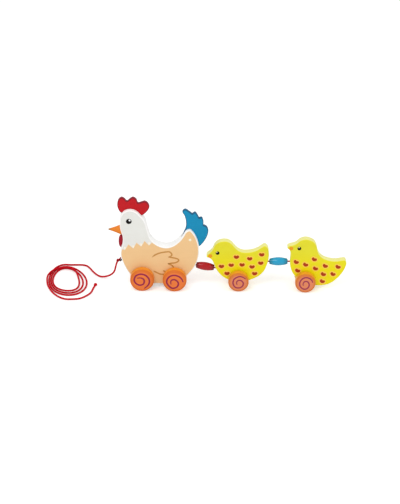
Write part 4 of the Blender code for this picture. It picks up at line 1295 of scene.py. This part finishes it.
def make_chick(body, links):
    """A chick's board with its prints. Each link gives a cord hole's mouth and its way into the board."""
    name = body.name
    shape = board(smooth_outline(CHICK_OUTLINE), CHICK_THICKNESS, BODY_ROUNDOVER, body)
    piece = new_piece(f"{name}_board", shape, name, CHICK_PAINT, [f"{name}_body"])
    cut(piece, *(round_cutter(mouth, inward, CORD_HOLE_RADIUS, CORD_HOLE_DEPTH) for mouth, inward in links))
    halos = [heart(place, HALO_RADII, HALO_NOTCH) for place in HEARTS]
    hearts = [heart(place, HEART_RADII, HEART_NOTCH) for place in HEARTS]
    prints(f"{name}_halos_print", halos, 1, HALO_PRINT, body)
    prints(f"{name}_hearts_print", hearts, 2, HEART_PRINT, body)
    prints(f"{name}_beak_print", [oval(BEAK_MARK, BEAK_MARK_SIZE)], 2, BEAK_MARK_PRINT, body)
    eye(CHICK_EYE, CHICK_EYE_RADIUS, CHICK_HIGHLIGHT_PLACE, CHICK_HIGHLIGHT_PRINT, body)


def chest_hole(number, body):
    """Where a link's cord enters a chick's chest, and the way it goes in."""
    way = [(0, 0, 0), (math.cos(CHEST_HOLE_FALL), 0, math.sin(CHEST_HOLE_FALL))]
    return link_places(number)[3], np.diff(placed(way, body), axis=0)[0]


# Links

def link_places(number):
    """A cord link's bends: in the front body, at the bead's front and rear, and in the rear body."""
    return [
        joint_place(f"link_{number}_{end}") for end in ("yaw_front", "pitch_front", "pitch_rear", "yaw_rear")
    ]


def bead_profile(length):
    """A barrel's half section: its radius follows a power of a half cosine between two rounded ends."""
    edge, end = BEAD_EDGE_ROUND, BEAD_END_RADIUS
    bore, ease = CORD_HOLE_RADIUS, BEAD_BORE_EASE
    t = np.linspace(-1, 1, 33)
    swell = end + (BEAD_RADIUS - end) * np.cos(t * math.pi / 2).clip(0) ** BEAD_SWELL_POWER
    flank = list(zip(swell, length / 2 + t * (length / 2 - edge)))
    profile = [(bore + ease, 0)] + arc((end - edge, edge), edge, -90, -8, 5) + flank
    profile += arc((end - edge, length - edge), edge, 8, 90, 5)
    return profile + [(bore + ease, length), (bore, length - ease), (bore, ease), (bore + ease, 0)]


def make_link(number, lacquer):
    """A lacquered barrel bead on a short cord that bends at the bead's two ends."""
    name = f"link_{number}"
    mouth, front, rear, chest = link_places(number)
    profile = bead_profile(float(np.linalg.norm(rear - front)))
    shape = turned(profile, front, rear - front, 56)
    new_piece(f"{name}_barrel", shape, f"{name}_bead", lacquer, [f"{name}_bead"])
    past, short = CORD_RADIUS, -CORD_RADIUS - FIT
    for part, start, stop, reach in (
        ("front", mouth, front, past), ("core", front, rear, short), ("rear", rear, chest, past),
    ):
        way = unit(stop - start)
        path = even_steps(np.array((start - way * reach, stop + way * reach)), LINK_STEP)
        node = f"{name}_{part}_cord"
        cord_piece(f"{node}_braid", path, blunt(path, CORD_RADIUS), f"{name}_{part}", [node])


# Stage and light

def seen_share(tree):
    """1 for what the camera sees, directly or in a reflection, and 0 for what lights the toy."""
    path = add_node(tree, "ShaderNodeLightPath")
    return math_node(tree, "MAXIMUM", path.outputs["Is Camera Ray"], path.outputs["Is Glossy Ray"])


def make_stage():
    """A white floor. What the camera sees of it glows a little, so it stays white and keeps a soft shadow."""
    mesh = bpy.data.meshes.new("floor")
    far = FLOOR_REACH
    mesh.from_pydata([(-far, -far, 0), (far, -far, 0), (far, far, 0), (-far, far, 0)], [], [(0, 1, 2, 3)])
    white, tree, shader = new_material(
        "white floor", {"Roughness": 0.9, "Specular IOR Level": 0.1, "Emission Color": (1, 1, 1, 1)},
    )
    tone = noise(tree, object_place(tree), 6, 2, 0.5)
    colour = mix_colours(tree, tone, (0.90, 0.90, 0.90, 1), (0.92, 0.92, 0.92, 1))
    tree.links.new(colour, shader.inputs["Base Color"])
    glow = math_node(tree, "MULTIPLY", seen_share(tree), FLOOR_GLOW)
    tree.links.new(glow, shader.inputs["Emission Strength"])
    mesh.materials.append(white)
    added("floor", mesh)


def area_light(name, place, size, power):
    """A round lamp that faces the toy."""
    light = bpy.data.lights.new(name, "AREA")
    light.shape = "DISK"
    light.size = size
    light.energy = power
    lamp = added(name, light)
    lamp.location = place
    lamp.rotation_euler = (Vector(LIT_PLACE) - Vector(place)).to_track_quat("-Z", "Y").to_euler()


def make_light():
    world = bpy.data.worlds.new("studio")
    world.use_nodes = True
    tree = world.node_tree
    sky = tree.nodes["Background"]
    sky.inputs["Color"].default_value = (1, 1, 1, 1)
    tree.links.new(spread(tree, seen_share(tree), 0, 1, SKY_STRENGTH, 1.0), sky.inputs["Strength"])
    bpy.context.scene.world = world
    area_light("key", KEY_PLACE, KEY_SIZE, KEY_POWER)
    area_light("fill", FILL_PLACE, FILL_SIZE, FILL_POWER)


def finish_hidden_nodes():
    """The solids that stay as they are: the axles, and the cord's ends in their holes."""
    for name, cad in frame["nodes"].items():
        if cad.hide_render:
            continue
        material = CORD if "anchor" in name else BARE_WOOD
        if cad.material_slots:
            cad.material_slots[0].material = material
        else:
            cad.data.materials.append(material)


make_camera()
make_pull_cord()
make_hen_board()
make_hen_prints()
make_comb()
make_tail()
make_beak()
make_wattle()
make_screw_eye()

link_2_mouth, _, link_2_bend, _ = link_places(2)
make_chick(CHICKS[0], [chest_hole(1, CHICKS[0]), (link_2_mouth, link_2_mouth - link_2_bend)])
make_chick(CHICKS[1], [chest_hole(2, CHICKS[1])])

for axle in ("hen_front_wheel", "hen_rear_wheel"):
    make_wheels(axle, *HEN_WHEEL_COLOURS, SPIRAL_PRINT)
for axle in ("chick_1_wheel", "chick_2_wheel"):
    make_wheels(axle, *CHICK_WHEEL_COLOURS, PALE_SPIRAL_PRINT)
make_link(1, RED_LACQUER)
make_link(2, BLUE_LACQUER)
finish_hidden_nodes()
make_stage()
make_light()
bpy.context.scene.view_settings.view_transform = "Standard"
